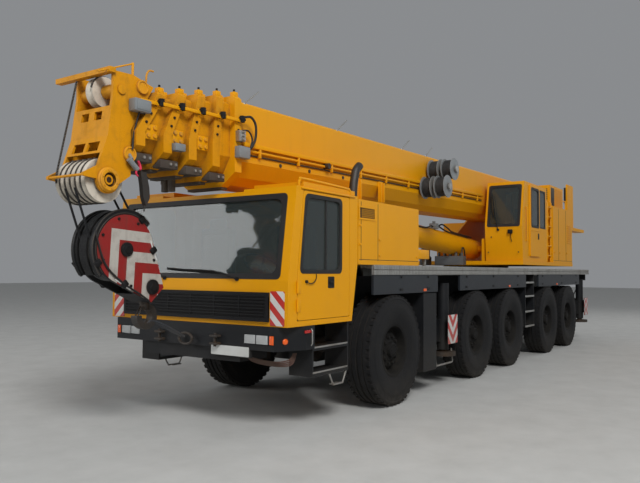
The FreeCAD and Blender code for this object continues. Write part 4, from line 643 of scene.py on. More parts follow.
RIM = Finish("rim_enamel", (0.006, 0.006, 0.007), 0.6, soiled_and_shaded=0.16, scale=7.0,
             dirt_and_shade=(0.03, 0.027, 0.022), gloss=0.15)
ALLOY = Finish("ribbed_alloy", (0.50, 0.50, 0.48), 0.42, metal=0.85, soiled_and_shaded=0.35, scale=4.0)
CHEQUER = Finish("chequer_alloy", (0.42, 0.43, 0.42), 0.45, metal=0.8, soiled_and_shaded=0.4, scale=2.0, relief=0.5,
                 pattern=Pattern.CHEQUER)
STEEL = Finish("dark_steel", (0.075, 0.07, 0.066), 0.5, metal=0.75, soiled_and_shaded=0.4, scale=8.0,
               dirt_and_shade=(0.10, 0.065, 0.04))
CHROME = Finish("hard_chrome", (0.72, 0.72, 0.73), 0.12, metal=1.0, soiled_and_shaded=0.04)
NYLON = Finish("cast_nylon", (0.70, 0.64, 0.54), 0.5, soiled_and_shaded=0.45, scale=9.0)
GLASS = Finish("tinted_glass", (0.20, 0.25, 0.25), 0.05, soiled_and_shaded=0.02, dust_top=0.3, relief=0.0, clear=0.85)
CLEAR_LENS = Finish("clear_lens", (0.86, 0.88, 0.88), 0.08, soiled_and_shaded=0.08, dust_top=0.4, relief=0.01, clear=0.5)
RIBBON = Finish("red_ribbon", (0.75, 0.03, 0.09), 0.7, soiled_and_shaded=0.1)
ORANGE_LENS = Finish("orange_lens", (0.95, 0.13, 0.008), 0.15, coat=0.6, soiled_and_shaded=0.05, dust_top=0.4)
RED_LENS = Finish("red_lens", (0.5, 0.012, 0.008), 0.15, coat=0.6, soiled_and_shaded=0.05, dust_top=0.4)
MIRROR = Finish("lamp_reflector", (0.75, 0.76, 0.77), 0.12, metal=1.0, soiled_and_shaded=0.03)
WHITE = Finish("white_plate", (0.72, 0.74, 0.72), 0.35, coat=0.3, soiled_and_shaded=0.1)
GREY = Finish("grey_casting", (0.24, 0.26, 0.27), 0.5, soiled_and_shaded=0.25)
CORD = Finish("brown_hose", (0.085, 0.022, 0.014), 0.6, soiled_and_shaded=0.2)
CLOTH = Finish("seat_cloth", (0.05, 0.055, 0.065), 0.9, soiled_and_shaded=0.2, grain=900.0, relief=0.3)
ROPE = Finish("hoist_rope", (0.13, 0.12, 0.11), 0.5, metal=0.8, soiled_and_shaded=0.3, relief=0.5,
              pattern=Pattern.STRANDS)
IRON = Finish("engine_casting", (0.09, 0.095, 0.10), 0.55, metal=0.2, soiled_and_shaded=0.4)
RUST = Finish("greased_iron", (0.035, 0.016, 0.009), 0.6, metal=0.3, soiled_and_shaded=0.4, scale=8.0,
              dirt_and_shade=(0.10, 0.045, 0.02))
PAD = Finish("wear_pad", (0.06, 0.045, 0.035), 0.7, soiled_and_shaded=0.4)


def stripes(name: str, centre: Colour, slope: Colour, pitch: float) -> Finish:
    """Red and white warning stripes about one place."""
    return Finish(name, (0.58, 0.018, 0.012), 0.32, coat=0.4, soiled_and_shaded=0.12, pattern=Pattern.STRIPES,
                  centre=centre, slope=slope, pitch=pitch)


class Workshop:
    """Turns shapes into named pieces that ride on the CAD's bodies."""

    def __init__(self) -> None:
        """Start with no materials and no pieces."""
        self.coats: dict[str, bpy.types.Material] = {}
        self.count = 0

    def coat(self, finish: Finish) -> bpy.types.Material:
        """The material of a finish, made once."""
        if finish.name not in self.coats:
            self.coats[finish.name] = finish.build()
        return self.coats[finish.name]

    def fit(self, name: str, shape: Shape, body: str, finish: Finish, slot: str,
            stands_for: Sequence[str] = (), crease: float = 32.0) -> bpy.types.Object:
        """Make a piece of a shape.

        Args:
            name: The piece's name.
            shape: Its mesh, which is used up.
            body: The CAD body that it rides on.
            finish: Its finish.
            slot: The record's material slot; not used.
            stands_for: CAD nodes that it takes the place of.
            crease: Angle in degrees past which an edge stays sharp.

        Returns:
            The new object.
        """
        mesh = bpy.data.meshes.new(name)
        shape.tidy().mesh.to_mesh(mesh)
        shape.mesh.free()
        mesh.shade_smooth()
        mesh.set_sharp_from_angle(angle=math.radians(crease))
        piece = bpy.data.objects.new(name, mesh)
        bpy.context.scene.collection.objects.link(piece)
        mesh.materials.append(self.coat(finish))
        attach(piece, body)
        if stands_for:
            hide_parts(*stands_for)
        self.count += 1
        LOG.info("piece %s on %s", name, body)
        return piece

    def dress(self, node: str, finish: Finish) -> None:
        """Give a CAD node its finish."""
        piece = bpy.data.objects[node]
        piece.data.materials.clear()
        piece.data.materials.append(self.coat(finish))


@dataclass
class FramePaint:
    """Finishes of the CAD nodes that stay in view."""

    shop: Workshop

    def build(self) -> None:
        """Dress every node."""
        rows = [
            (CARRIER, ("chassis_frame", "outrigger_boxes", "front_bumper", "ladders_and_steps", "side_boxes",
                       "hook_block")),
            (STEEL, ("axle_beams", "hook")), (SKIRT, ("side_skirts",)), (CHEQUER, ("deck",)),
            (BLACK, ("radiator_grille", "driver_cab_interior", "front_lamps")),
            (YELLOW, ("driver_cab_shell", "engine_hood", "turntable", "crane_cab_shell", "crane_cab_door",
                      "power_unit_housings", "winch_drum", "cab_door_left", "cab_door_right", "luff_barrel")),
            (GLASS, ("driver_cab_glass",)), (IRON, ("carrier_engine",)), (CLOTH, ("crane_cab_seat",)),
            (BOOM_YELLOW, ("boom_base",)),
            (COLLAR_YELLOW, ("boom_section_2", "boom_section_3", "boom_section_4", "boom_section_5",
                             "boom_section_6_head")),
            (NYLON, ("boom_head_sheaves",)), (CHROME, ("luff_rod",)),
        ]
        for finish, nodes in rows:
            for node in nodes:
                self.shop.dress(node, finish)
        for side, _ in SIDES:
            for number, _ in AXLES:
                self.shop.dress(f"wheel_{number}_{side}", RUBBER)
                if number != 3:
                    self.shop.dress(f"knuckle_{number}_{side}", STEEL)
            for end in ("front", "rear"):
                self.shop.dress(f"outrigger_beam_{end}_{side}", CARRIER)
                self.shop.dress(f"outrigger_jack_{end}_{side}", STEEL)


@dataclass
class Wheels:
    """Ten tyres on dished rims."""

    shop: Workshop
    radius: float = 0.685
    half: float = 0.1875
    middle: float = 1.1875
    hub: float = 0.685
    lugs: int = 44
    nuts: int = 10
    nut_circle: float = 0.168
    cap_circle: float = 0.062
    hole_circle: float = 0.259

    def tyre(self, centre: Vector, side: int) -> Shape:
        """Draw a tyre with its grooves, sidewall rings and shoulder lugs.

        Args:
            centre: The wheel's middle.
            side: 1 on the left, -1 on the right.

        Returns:
            The tyre.
        """
        top = self.radius
        outer = [
            (0.322, 0.130), (0.336, 0.150), (0.350, 0.156), (0.372, 0.158), (0.378, 0.162), (0.392, 0.164),
            (0.430, 0.178), (0.480, 0.186), (0.520, self.half), (0.560, self.half), (0.566, 0.184),
            (0.600, 0.182), (0.630, 0.176), (0.636, 0.180), (0.652, 0.178), (0.668, 0.166), (0.671, 0.134),
            (top - 0.004, 0.126), (top - 0.001, 0.086), (top - 0.016, 0.084), (top - 0.016, 0.070),
            (top, 0.068), (top, 0.016), (top - 0.016, 0.014),
        ]
        ring = outer + [(r, -u) for r, u in reversed(outer)] + outer[:1]
        shape = Shape().lathe(ring, centre, (0, side, 0), steps=88)
        size = Matrix.Diagonal((0.052, 0.052, 0.015, 1.0))
        for face in (1, -1):
            block = Matrix.Translation((0, face * 0.148, self.radius - 0.0085))
            for number in range(self.lugs):
                turn = Matrix.Rotation(2 * math.pi * number / self.lugs, 4, "Y")
                place = Matrix.Translation(centre) @ turn @ block @ size
                bmesh.ops.create_cube(shape.mesh, size=1.0, matrix=place)
        return shape

    def rim(self, centre: Vector, side: int) -> Shape:
        """Draw a rim with its dish, hub and wheel nuts.

        Args:
            centre: The wheel's middle.
            side: 1 on the left, -1 on the right.

        Returns:
            The rim.
        """
        profile = [
            (0.0, 0.138), (0.080, 0.138), (0.092, 0.130), (0.098, 0.088), (0.128, 0.084), (0.140, 0.076),
            (0.205, 0.074), (0.222, 0.060), (0.246, 0.030), (0.272, 0.026), (0.284, 0.036), (0.290, 0.120),
            (0.298, 0.146), (0.330, 0.154), (0.341, 0.150), (0.342, 0.140), (0.321, 0.132), (0.318, -0.148),
            (0.294, -0.148), (0.290, 0.012), (0.210, 0.040), (0.0, 0.045),
        ]
        shape = Shape().lathe(profile, centre, (0, side, 0), steps=56)
        out = Vector((0, side, 0))
        for number in range(self.nuts):
            angle = 2 * math.pi * number / self.nuts
            spoke = Vector((math.cos(angle), 0, math.sin(angle)))
            shape.bolts([centre + spoke * self.nut_circle + out * 0.072], out, 0.019, 0.034)
            shape.bolts([centre + spoke * self.cap_circle + out * 0.137], out, 0.008, 0.008)
            hole = centre + spoke * self.hole_circle + out * 0.020
            shape.rod(hole, hole + out * 0.009, 0.017, sides=12)
        return shape

    def build(self) -> None:
        """Fit the ten wheels."""
        for number, station in AXLES:
            for name, side in SIDES:
                centre = Vector((row(station), side * self.middle, self.hub))
                body = f"wheel_{number}_{name}"
                self.shop.fit(f"tyre_{number}_{name}", self.tyre(centre, side), body, RUBBER, "tyre", (body,))
                self.shop.fit(f"rim_{number}_{name}", self.rim(centre, side), body, RIM, "carrier_paint")


@dataclass
class DeckEdge:
    """Ribbed edge strips, skirt latches and the ladders' bright edges."""

    shop: Workshop
    face: float = 1.33
    low: float = 1.625
    front: float = 0.52
    rear: float = -10.6
    rib_pitch: float = 0.045
    rail_pitch: float = 0.064
    stirrup: Limits = (-1.92, -1.34)
    stirrup_low: float = 0.33

    def strips(self, side: int) -> Shape:
        """Draw two ribbed rails along the deck's edge.

        Args:
            side: 1 on the left, -1 on the right.

        Returns:
            The rails.
        """
        shape = Shape()
        along = span(self.rear, self.front)
        rails = (self.low, self.low + self.rail_pitch)
        rail = beside(side, self.face - 0.004, self.face + 0.010)
        rib = beside(side, self.face + 0.009, self.face + 0.014)
        for bottom in rails:
            shape.block(along, rail, (bottom, bottom + 0.056), 0.002)
        size = Matrix.Diagonal((0.022, 0.005, 0.044, 1.0))
        for number in range(int((along[1] - along[0]) / self.rib_pitch)):
            x = along[0] + 0.012 + number * self.rib_pitch
            for bottom in rails:
                place = Matrix.Translation((x + 0.011, sum(rib) / 2, bottom + 0.028))
                bmesh.ops.create_cube(shape.mesh, size=1.0, matrix=place @ size)
        return shape

    def latches(self, side: int) -> Shape:
        """Draw the latches and hinge knuckles on a skirt.

        Args:
            side: 1 on the left, -1 on the right.

        Returns:
            The latches.
        """
        shape = Shape()
        out = side * self.face
        plate = beside(side, self.face - 0.002, self.face + 0.008)
        for station in (-0.2, -1.0, -2.4, -3.6, -4.9, -6.5, -8.0, -9.3):
            x = row(station)
            shape.block(near(x, 0.045), plate, (1.42, 1.45), 0.003)
            shape.rod((x, out, 1.595), (x, out + side * 0.012, 1.595), 0.016, 12)
        return shape

    def step_edges(self, side: int) -> Shape:
        """Draw bright edges on the ladder and the stirrup below the box.

        Args:
            side: 1 on the left, -1 on the right.

        Returns:
            The edges.
        """
        shape = Shape()
        y = beside(side, self.face - 0.033, self.face - 0.022)
        for height in (0.606, 0.890, 1.185, 1.450):
            shape.block(span(-5.99, -5.43), y, (height, height + 0.034), 0.004)
        (end, start), low = span(*self.stirrup), self.stirrup_low
        legs = ((1.27, 0.20), (1.29, 0.02))
        route = [(start, side * y, low + up) for y, up in legs]
        route += [(start - 0.03, side * 1.29, low), (end + 0.03, side * 1.29, low)]
        route += [(end, side * y, low + up) for y, up in reversed(legs)]
        shape.pipe(route, 0.014)
        return shape

    def build(self) -> None:
        """Fit both sides."""
        for name, side in SIDES:
            self.shop.fit(f"deck_edge_{name}", self.strips(side), "root", ALLOY, "bare_alloy")
            self.shop.fit(f"skirt_latches_{name}", self.latches(side), "root", BLACK, "trim_black")
            self.shop.fit(f"step_edges_{name}", self.step_edges(side), "root", ALLOY, "bare_alloy")


@dataclass
class DriverCab:
    """Glass, seals, doors, wipers, rail and seats of the carrier's cab."""

    shop: Workshop
    half: float = 1.32
    front: float = 2.205
    waist: float = 1.565
    top: float = 2.53
    lean: float = 0.135
    wall: float = 0.045
    screen_half: float = 1.2
    screen_low: float = 1.60
    screen_high: float = 2.44

    def on_screen(self, y: float, z: float, proud: float = 0.0) -> Vector:
        """A place on the leaning front face."""
        back = self.lean * (z - self.waist) / (self.top - self.waist) if z > self.waist else 0.0
        return Vector((row(self.front) - back + proud, y, z))

    def screen_seal(self) -> Shape:
        """Rubber round the windscreen."""
        shape = Shape()
        outer, inner = [], []
        for u, v in ((-1, -1), (1, -1), (1, 1), (-1, 1)):
            middle = (self.screen_low + self.screen_high) / 2
            high = (self.screen_high - self.screen_low) / 2
            outer.append(self.on_screen(u * (self.screen_half + 0.02), middle + v * (high + 0.02), 0.006))
            inner.append(self.on_screen(u * (self.screen_half - 0.035), middle + v * (high - 0.035), 0.006))
        return shape.surround(outer, inner, (-0.03, 0, 0), 0.05, 0.09)

    def wipers(self) -> Shape:
        """Two long wipers with their arms."""
        shape = Shape()
        for pivot, reach in ((0.66, -0.72), (-0.42, -0.53)):
            hub = self.on_screen(pivot, 1.578, 0.02)
            elbow = self.on_screen(pivot + reach * 0.45, 1.66, 0.035)
            end = self.on_screen(pivot + reach, 1.672, 0.03)
            shape.rod(self.on_screen(pivot, 1.578, -0.01), hub, 0.022)
            shape.pipe([hub, elbow, end], 0.009)
            shape.pipe([self.on_screen(pivot + reach * 1.45, 1.69, 0.022), end,
                        self.on_screen(pivot + reach * 0.35, 1.648, 0.022)], 0.007)
            shape.pipe([self.on_screen(pivot + reach * 1.45, 1.678, 0.014),
                        self.on_screen(pivot + reach * 0.35, 1.636, 0.014)], 0.009, 4)
        return shape

    def door_corners(self, y: float, grow: float = 0.0) -> list[Point]:
        """Corners of the door's outline."""
        return [(row(1.06 - grow), y, 1.165 - grow), (row(2.045 + grow), y, 1.165 - grow),
                (row(2.045 + grow), y, 1.64), (row(1.945 + grow), y, 2.495 + grow),
                (row(1.06 - grow), y, 2.495 + grow)]

    def window_corners(self, y: float, shrink: float = 0.0) -> list[Point]:
        """Corners of the door's window."""
        return [(row(1.225 + shrink), y, 1.65 + shrink), (row(1.999 - shrink), y, 1.65 + shrink),
                (row(1.981 - shrink), y, 1.80), (row(1.905 - shrink), y, 2.455 - shrink),
                (row(1.225 + shrink), y, 2.455 - shrink)]

    def doors(self, name: str, side: int) -> None:
        """One door: skin with its window, seal, glass and handle.

        Args:
            name: Its side's name.
            side: 1 for the left side, -1 for the right.
        """
        body = f"cab_door_{name}"
        face = side * self.half
        skin = Shape().surround(self.door_corners(face), self.window_corners(face), (0, -side * self.wall, 0),
                                0.03, 0.06)
        for low in (1.255, 1.44):
            skin.rod((row(2.056), side * 1.3313, low), (row(2.056), side * 1.3313, low + 0.12), 0.011)
            skin.block(span(1.995, 2.056), beside(side, self.half, self.half + 0.008), (low, low + 0.12),
                       0.002)
        self.shop.fit(f"door_skin_{name}", skin, body, YELLOW, "body_paint", (body,))
        lip, rebate, depth = face + side * 0.004, face - side * 0.012, (0, -side * 0.02, 0)
        seal = Shape().surround(self.window_corners(lip, -0.012), self.window_corners(lip, 0.028), depth,
                                0.06, 0.06)
        seal.surround(self.door_corners(rebate, 0.003), self.door_corners(rebate, -0.006), depth, 0.03, 0.03)
        seal.block(near(row(1.52), 0.008), beside(side, self.half - 0.018, self.half - 0.004), (1.67, 2.44))
        self.shop.fit(f"door_seal_{name}", seal, body, SEAL, "trim_black")
        glass = Shape().plate(self.window_corners(face - side * 0.018), (0, -side * 0.006, 0), 0.06)
        self.shop.fit(f"door_glass_{name}", glass, body, GLASS, "cab_glass")
        self.shop.fit(f"door_handle_{name}", self.handle(side), body, BLACK, "trim_black")

    def handle(self, side: int) -> Shape:
        """A door's handle in its square recess, and the lamp wire beside it."""
        face = side * self.half
        proud = face + side * 0.003

        def recess(half: float, y: float) -> list[Point]:
            """Corners of the recess, grown to a half width."""
            return side_face(near(1.43, half), near(1.545, half), y)

        handle = Shape().surround(recess(0.062, proud), recess(0.040, proud), (0, -side * 0.010, 0),
                                  0.012, 0.010)
        handle.plate(recess(0.05, face + side * 0.0005), (0, -side * 0.004, 0))
        grip = beside(side, self.half + 0.002, self.half + 0.014)
        handle.block(span(1.395, 1.465), grip, (1.535, 1.56), 0.004)
        handle.rod((row(1.90), face, 1.556), (row(1.90), face + side * 0.02, 1.556), 0.016, 12)
        wire = ((1.90, 0.012, 1.556), (1.84, 0.014, 1.535), (1.77, 0.012, 1.55), (1.72, 0.006, 1.59),
                (1.715, 0.002, 1.636))
        return handle.pipe(cord_route([(x, face + side * out, z) for x, out, z in wire]), 0.005)

    def trim(self) -> None:
        """Roof rail, gutters and the far mirror."""
        rail = Shape()
        rail.pipe(cord_route([(1.97, 1.27, 2.525), (1.96, 1.275, 2.60), (1.88, 1.275, 2.62),
                              (1.10, 1.275, 2.605), (0.99, 1.275, 2.59), (0.98, 1.27, 2.525)]), 0.015)
        for _, side in SIDES:
            rail.block(span(0.95, 2.0), beside(side, 1.30, 1.335), (2.505, 2.522), 0.004)
        self.shop.fit("roof_rail", rail, "root", YELLOW, "body_paint")
        mirror = Shape()
        for z in (2.28, 2.02):
            mirror.pipe(cord_route([(2.10, -1.30, z), (2.20, -1.335, z + 0.02), (2.26, -1.33, z - 0.02)]),
                        0.010)
        mirror.block(span(2.235, 2.275), (-1.372, -1.19), (1.98, 2.32), 0.015)
        self.shop.fit("far_mirror", mirror, "root", BLACK, "trim_black")

    def inside(self) -> None:
        """Two sprung seats and the steering wheel."""
        for name, side in SIDES:
            y = side * 0.62
            seat = Shape()
            for along, half, up, bevel in (((1.17, 1.62), 0.24, (1.46, 1.60), 0.05),
                                           ((1.06, 1.19), 0.23, (1.56, 2.14), 0.05),
                                           ((1.07, 1.17), 0.13, (2.15, 2.33), 0.04)):
                seat.block(span(*along), near(y, half), up, bevel)
            piece = self.shop.fit(f"cab_seat_{name}", seat, "root", CLOTH, "seat_cloth")
        wheel = Shape()
        centre = Vector((row(1.74), 0.62, 1.72))
        axis = Vector((-0.55, 0, 0.83)).normalized()
        side = axis.orthogonal().normalized()
        ring = [centre + Matrix.Rotation(2 * math.pi * k / 32, 3, axis) @ side * 0.22 for k in range(33)]
        wheel.pipe(ring, 0.014)
        for k in (0, 11, 22):
            wheel.rod(centre, ring[k], 0.012)
        wheel.rod(centre - axis * 0.26, centre + axis * 0.01, 0.035)
        self.shop.fit("steering_wheel", wheel, "root", BLACK, "trim_black")

    def build(self) -> None:
        """Fit the cab."""
        self.shop.fit("windscreen_seal", self.screen_seal(), "root", SEAL, "trim_black")
        self.shop.fit("wipers", self.wipers(), "root", BLACK, "trim_black")
        for name, side in SIDES:
            self.doors(name, side)
        self.trim()
        self.inside()


@dataclass
class FrontEnd:
    """Lamps, stripes, number plate, towing gear and bumper steps."""

    shop: Workshop
    face: float = 2.24
    flutes: int = 6
    slats: int = 18

    def lamp(self, side: int, inner: float, outer: float) -> Shape:
        """One rectangular lens with flutes."""
        low, high = 0.925, 1.015
        face = row(self.face)
        y = beside(side, inner + 0.004, outer - 0.004)
        shape = Shape().block((face - 0.018, face + 0.004), y, (low, high), 0.006)
        for k in range(self.flutes):
            z = low + (high - low) * (k + 0.5) / self.flutes
            shape.block((face + 0.003, face + 0.006), (y[0] + 0.008, y[1] - 0.008), near(z, 0.003))
        return shape

    def lamps(self) -> None:
        """Clear and orange lenses over their bowls."""
        clear, orange, bowls = Shape(), Shape(), Shape()
        for _, side in SIDES:
            for inner, outer in ((0.79, 0.94), (0.945, 1.10)):
                clear.absorb(self.lamp(side, inner, outer).mesh)
                y = side * (inner + outer) / 2
                bowls.lathe([(0.0, -0.012), (0.02, -0.010), (0.036, 0.004), (0.038, 0.004), (0.022, -0.014),
                             (0.0, -0.016)], (row(self.face) - 0.008, y, 0.97), (1, 0, 0), 24)
            orange.absorb(self.lamp(side, 1.115, 1.178).mesh)
            orange.lathe([(0.0, 0.020), (0.018, 0.018), (0.030, 0.006), (0.030, -0.004), (0.0, -0.004)],
                         (row(2.13), side * 1.235, 0.955), (0.4, side * 0.9, 0), 20)
        self.shop.fit("lamp_lenses", clear, "root", CLEAR_LENS, "lamp_glass", ("front_lamps",))
        self.shop.fit("lamp_bowls", bowls, "root", MIRROR, "lamp_glass")
        self.shop.fit("orange_lenses", orange, "root", ORANGE_LENS, "lamp_glass")
        marks, markers = Shape(), Shape()
        for _, side in SIDES:
            marks.block(span(1.80, 1.93), beside(side, 1.328, 1.338), (1.03, 1.06), 0.003)
            for station in (-0.90, -4.43, -7.60):
                markers.block(near(row(station), 0.045), beside(side, 1.322, 1.338), (1.40, 1.436), 0.005)
        self.shop.fit("side_reflectors", marks, "root", RED_LENS, "lamp_glass")
        self.shop.fit("side_markers", markers, "root", ORANGE_LENS, "lamp_glass")

    def stripe_plates(self) -> None:
        """Warning plates at the front corners."""
        finish = stripes("front_stripes", (0, 0, 0), (0, 1, 1), 0.17)
        shape = Shape()
        for _, side in SIDES:
            corners = front_face(row(2.205), beside(side, 1.10, 1.28), (1.115, 1.46))
            shape.plate(corners, (0.004, 0, 0), 0.01)
        self.shop.fit("front_stripe_plates", shape, "root", finish, "hook_paint")

    def plate(self) -> None:
        """Bare number plate on its holder."""
        holder = Shape().block(span(2.20, 2.243), (0.33, 0.87), (0.775, 0.895), 0.004)
        self.shop.fit("plate_holder", holder, "root", BLACK, "trim_black")
        plate = Shape().plate(front_face(row(2.243), (0.34, 0.86), (0.785, 0.885)), (0.003, 0, 0), 0.008)
        plate.bolts([(row(2.246), 0.37, 0.835), (row(2.246), 0.83, 0.835)], (1, 0, 0), 0.006, 0.002)
        self.shop.fit("number_plate", plate, "root", WHITE, "body_paint")

    def towing(self) -> None:
        """Two towing jaws with their pins, and a loop between them."""
        shape = Shape()
        for y in (-0.42, 0.42):
            for z in (0.90, 0.98):
                shape.block(span(2.20, 2.31), near(y, 0.055), near(z, 0.012), 0.008)
            shape.rod((row(2.275), y, 0.87), (row(2.275), y, 1.01), 0.016)
        loop = [(row(2.29), 0.10 * math.cos(a), 0.93 + 0.06 * math.sin(a)) for a in
                [math.pi * k / 8 for k in range(17)]]
        shape.pipe(loop, 0.014)
        self.shop.fit("towing_jaws", shape, "root", STEEL, "hook_steel")

    def grille(self) -> None:
        """Fine slats over a dark backing, in a frame with rounded ends."""
        backing = Shape().block(span(2.2035, 2.2085), (-1.06, 1.06), (1.155, 1.441))
        self.shop.fit("grille_backing", backing, "root", SEAL, "trim_black")
        face = row(2.2285)
        outer = front_face(face, (-1.09, 1.09), (1.15, 1.446))
        inner = front_face(face, (-1.055, 1.055), (1.175, 1.421))
        frame = Shape().surround(outer, inner, (-0.012, 0, 0), 0.04, 0.03)
        for number in range(self.slats):
            z = 1.181 + 0.0135 * number
            frame.block((face - 0.016, face - 0.003), (-1.05, 1.05), (z, z + 0.005))
        for y in (-0.70, -0.35, 0.0, 0.35, 0.70):
            frame.block((face - 0.014, face - 0.002), near(y, 0.006), (1.17, 1.43))
        self.shop.fit("grille_slats", frame, "root", BLACK, "trim_black")

    def cab_corner(self) -> None:
        """Step edges, grab bars, stirrups and hoses at the bumper's ends."""
        shape = Shape()
        for _, side in SIDES:
            for z in (0.60, 0.862):
                shape.block(span(1.06, 1.74), beside(side, 1.292, 1.304), (z - 0.006, z + 0.012), 0.003)
            bar = ((1.335, 0.90), (1.35, 0.92), (1.35, 1.05), (1.335, 1.07))
            shape.pipe(placed([(1.82, side * y, z) for y, z in bar]), 0.008)
        stirrup = ((1.42, 0.60), (1.415, 0.58), (1.33, 0.44), (1.30, 0.43), (1.16, 0.43), (1.13, 0.44),
                   (1.055, 0.58), (1.05, 0.60))
        for _, side in SIDES:
            shape.pipe(cord_route([(x, side * 1.285, z) for x, z in stirrup]), 0.010)
            shape.block(span(1.15, 1.31), beside(side, 1.22, 1.295), (0.424, 0.436), 0.004)
        self.shop.fit("bumper_step_edges", shape, "root", ALLOY, "bare_alloy")
        cords = Shape()
        for number in range(4):
            dip = 0.016 * number
            cords.pipe(cord_route([(2.12 - dip, 0.66, 0.80), (2.14 - dip, 0.78, 0.775 - dip),
                                   (2.12 - dip, 0.98, 0.745 - dip), (2.08 - dip, 1.12, 0.74 - dip),
                                   (2.00 - dip, 1.19, 0.76 - dip), (1.94 - dip, 1.20, 0.82)]), 0.0075)
        self.shop.fit("bumper_hoses", cords, "root", CORD, "trim_black")

    def build(self) -> None:
        """Fit the front."""
        self.lamps()
        self.stripe_plates()
        self.plate()
        self.towing()
        self.grille()
        self.cab_corner()


@dataclass
class RearEnd:
    """Lamp bar and bare plate at the tail."""

    shop: Workshop
    back: float = -10.599

    def build(self) -> None:
        """Fit the tail."""
        back = row(self.back)
        bar = Shape().block((back + 0.012, back + 0.06), (-1.26, 1.26), (1.475, 1.624), 0.006)
        self.shop.fit("rear_lamp_bar", bar, "root", BLACK, "trim_black")
        for name, finish, inner, outer in (("red", RED_LENS, 0.85, 1.08), ("orange", ORANGE_LENS, 1.09, 1.22),
                                           ("clear", CLEAR_LENS, 0.72, 0.84)):
            lenses = Shape()
            for _, side in SIDES:
                lenses.block((back + 0.001, back + 0.014), beside(side, inner, outer), (1.50, 1.60), 0.005)
            self.shop.fit(f"rear_lenses_{name}", lenses, "root", finish, "lamp_glass")
        plate = Shape().plate(front_face(back + 0.010, (-0.26, 0.26), (1.49, 1.60)), (-0.003, 0, 0), 0.008)
        self.shop.fit("rear_plate", plate, "root", WHITE, "body_paint")


@dataclass
class EngineHood:
    """Vents, seams and hinges of the engine's hood, the exhaust stack and the deck box."""

    shop: Workshop
    half: float = 1.32
    bars: int = 15
    wires: int = 6

    def build(self) -> None:
        """Fit the hood."""
        seams, vents, hinges = Shape(), Shape(), Shape()
        for _, side in SIDES:
            y = beside(side, self.half - 0.002, self.half + 0.0015)
            for station in (0.80, 0.40):
                seams.block(near(row(station), 0.004), y, (1.79, 2.48))
            seams.block(span(-0.70, 0.84), y, (1.80, 1.806))
            face = side * (self.half + 0.001)
            frame, opening = (side_face(along, up, face) for along, up in
                              (((0.47, 0.86), (2.27, 2.43)), ((0.49, 0.84), (2.29, 2.41))))
            hinges.surround(frame, opening, (0, side * 0.006, 0), 0.012, 0.008)
            mesh = beside(side, self.half, self.half + 0.004)
            for k in range(self.bars):
                vents.block(near(row(0.497 + 0.0245 * k), 0.002), mesh, (2.29, 2.41))
            for k in range(self.wires):
                vents.block(span(0.49, 0.84), mesh, near(2.30 + 0.02 * k, 0.0015))
            knuckle = beside(side, self.half - 0.002, self.half + 0.012)
            for station, z in ((0.36, 2.05), (0.36, 1.86), (-0.66, 1.86), (0.82, 1.98), (0.82, 2.2)):
                hinges.block(near(row(station), 0.02), knuckle, near(z, 0.012), 0.004)
        self.shop.fit("hood_seams", seams, "root", SEAL, "trim_black")
        self.shop.fit("hood_vents", vents, "root", STEEL, "body_paint")
        self.shop.fit("hood_hinges", hinges, "root", YELLOW, "body_paint")
        self.stack()

    def stack(self) -> None:
        """Exhaust pipe, and the low box behind the hood."""
        pipe = Shape().pipe(cord_route([(0.10, 0.78, 2.50), (0.10, 0.78, 2.66), (0.08, 0.78, 2.82),
                                        (0.03, 0.78, 2.98), (-0.06, 0.78, 3.06)]), 0.055, 20)
        pipe.lathe([(0.0, 0.0), (0.09, 0.0), (0.09, 0.02), (0.066, 0.03), (0.066, 0.10), (0.0, 0.10)],
                   (row(0.10), 0.78, 2.505), (0, 0, 1), 24)
        self.shop.fit("exhaust_stack", pipe, "root", STEEL, "engine_iron")
        box = Shape().block(span(-1.15, -0.74), (0.86, 1.28), (1.84, 1.97), 0.012)
        self.shop.fit("deck_box", box, "root", YELLOW, "body_paint")
        feet = Shape()
        for station in (-1.10, -0.79):
            for y in (0.92, 1.22):
                feet.block(near(row(station), 0.02), near(y, 0.02), (1.744, 1.845), 0.003)
        self.shop.fit("deck_box_feet", feet, "root", ALLOY, "bare_alloy")


@dataclass
class OutriggerTrim:
    """Striped end plates and the hoses of the outriggers."""

    shop: Workshop
    lane: float = 0.1505
    plate_half: float = 0.17

    def build(self) -> None:
        """Fit the four plates and hoses."""
        for end, station in (("front", -1.67), ("rear", -10.08)):
            for name, side in SIDES:
                x = row(station) - side * self.lane
                y = side * 1.3405
                finish = stripes(f"stripes_{end}_{name}", (x, y, 0), (-1.2, 0, 1), 0.21)
                (rear, front), (low, high) = near(x, self.plate_half), (0.615, 1.035)
                corners = [(rear, y, low), (front, y, low), (front, y, high), (rear, y, high)]
                plate = Shape().plate(corners, (0, side * 0.004, 0), 0.012)
                body = f"outrigger_beam_{end}_{name}"
                self.shop.fit(f"stripe_plate_{end}_{name}", plate, body, finish, "hook_paint")
                fall = ((-0.03, 1.10, 1.46), (-0.05, 1.11, 1.30), (0.10, 1.07, 1.10), (0.11, 1.05, 0.99))
                hose = Shape().pipe(smooth_route([(x + u, side * v, z) for u, v, z in fall]), 0.012)
                self.shop.fit(f"jack_hose_{end}_{name}", hose, body, SEAL, "trim_black")


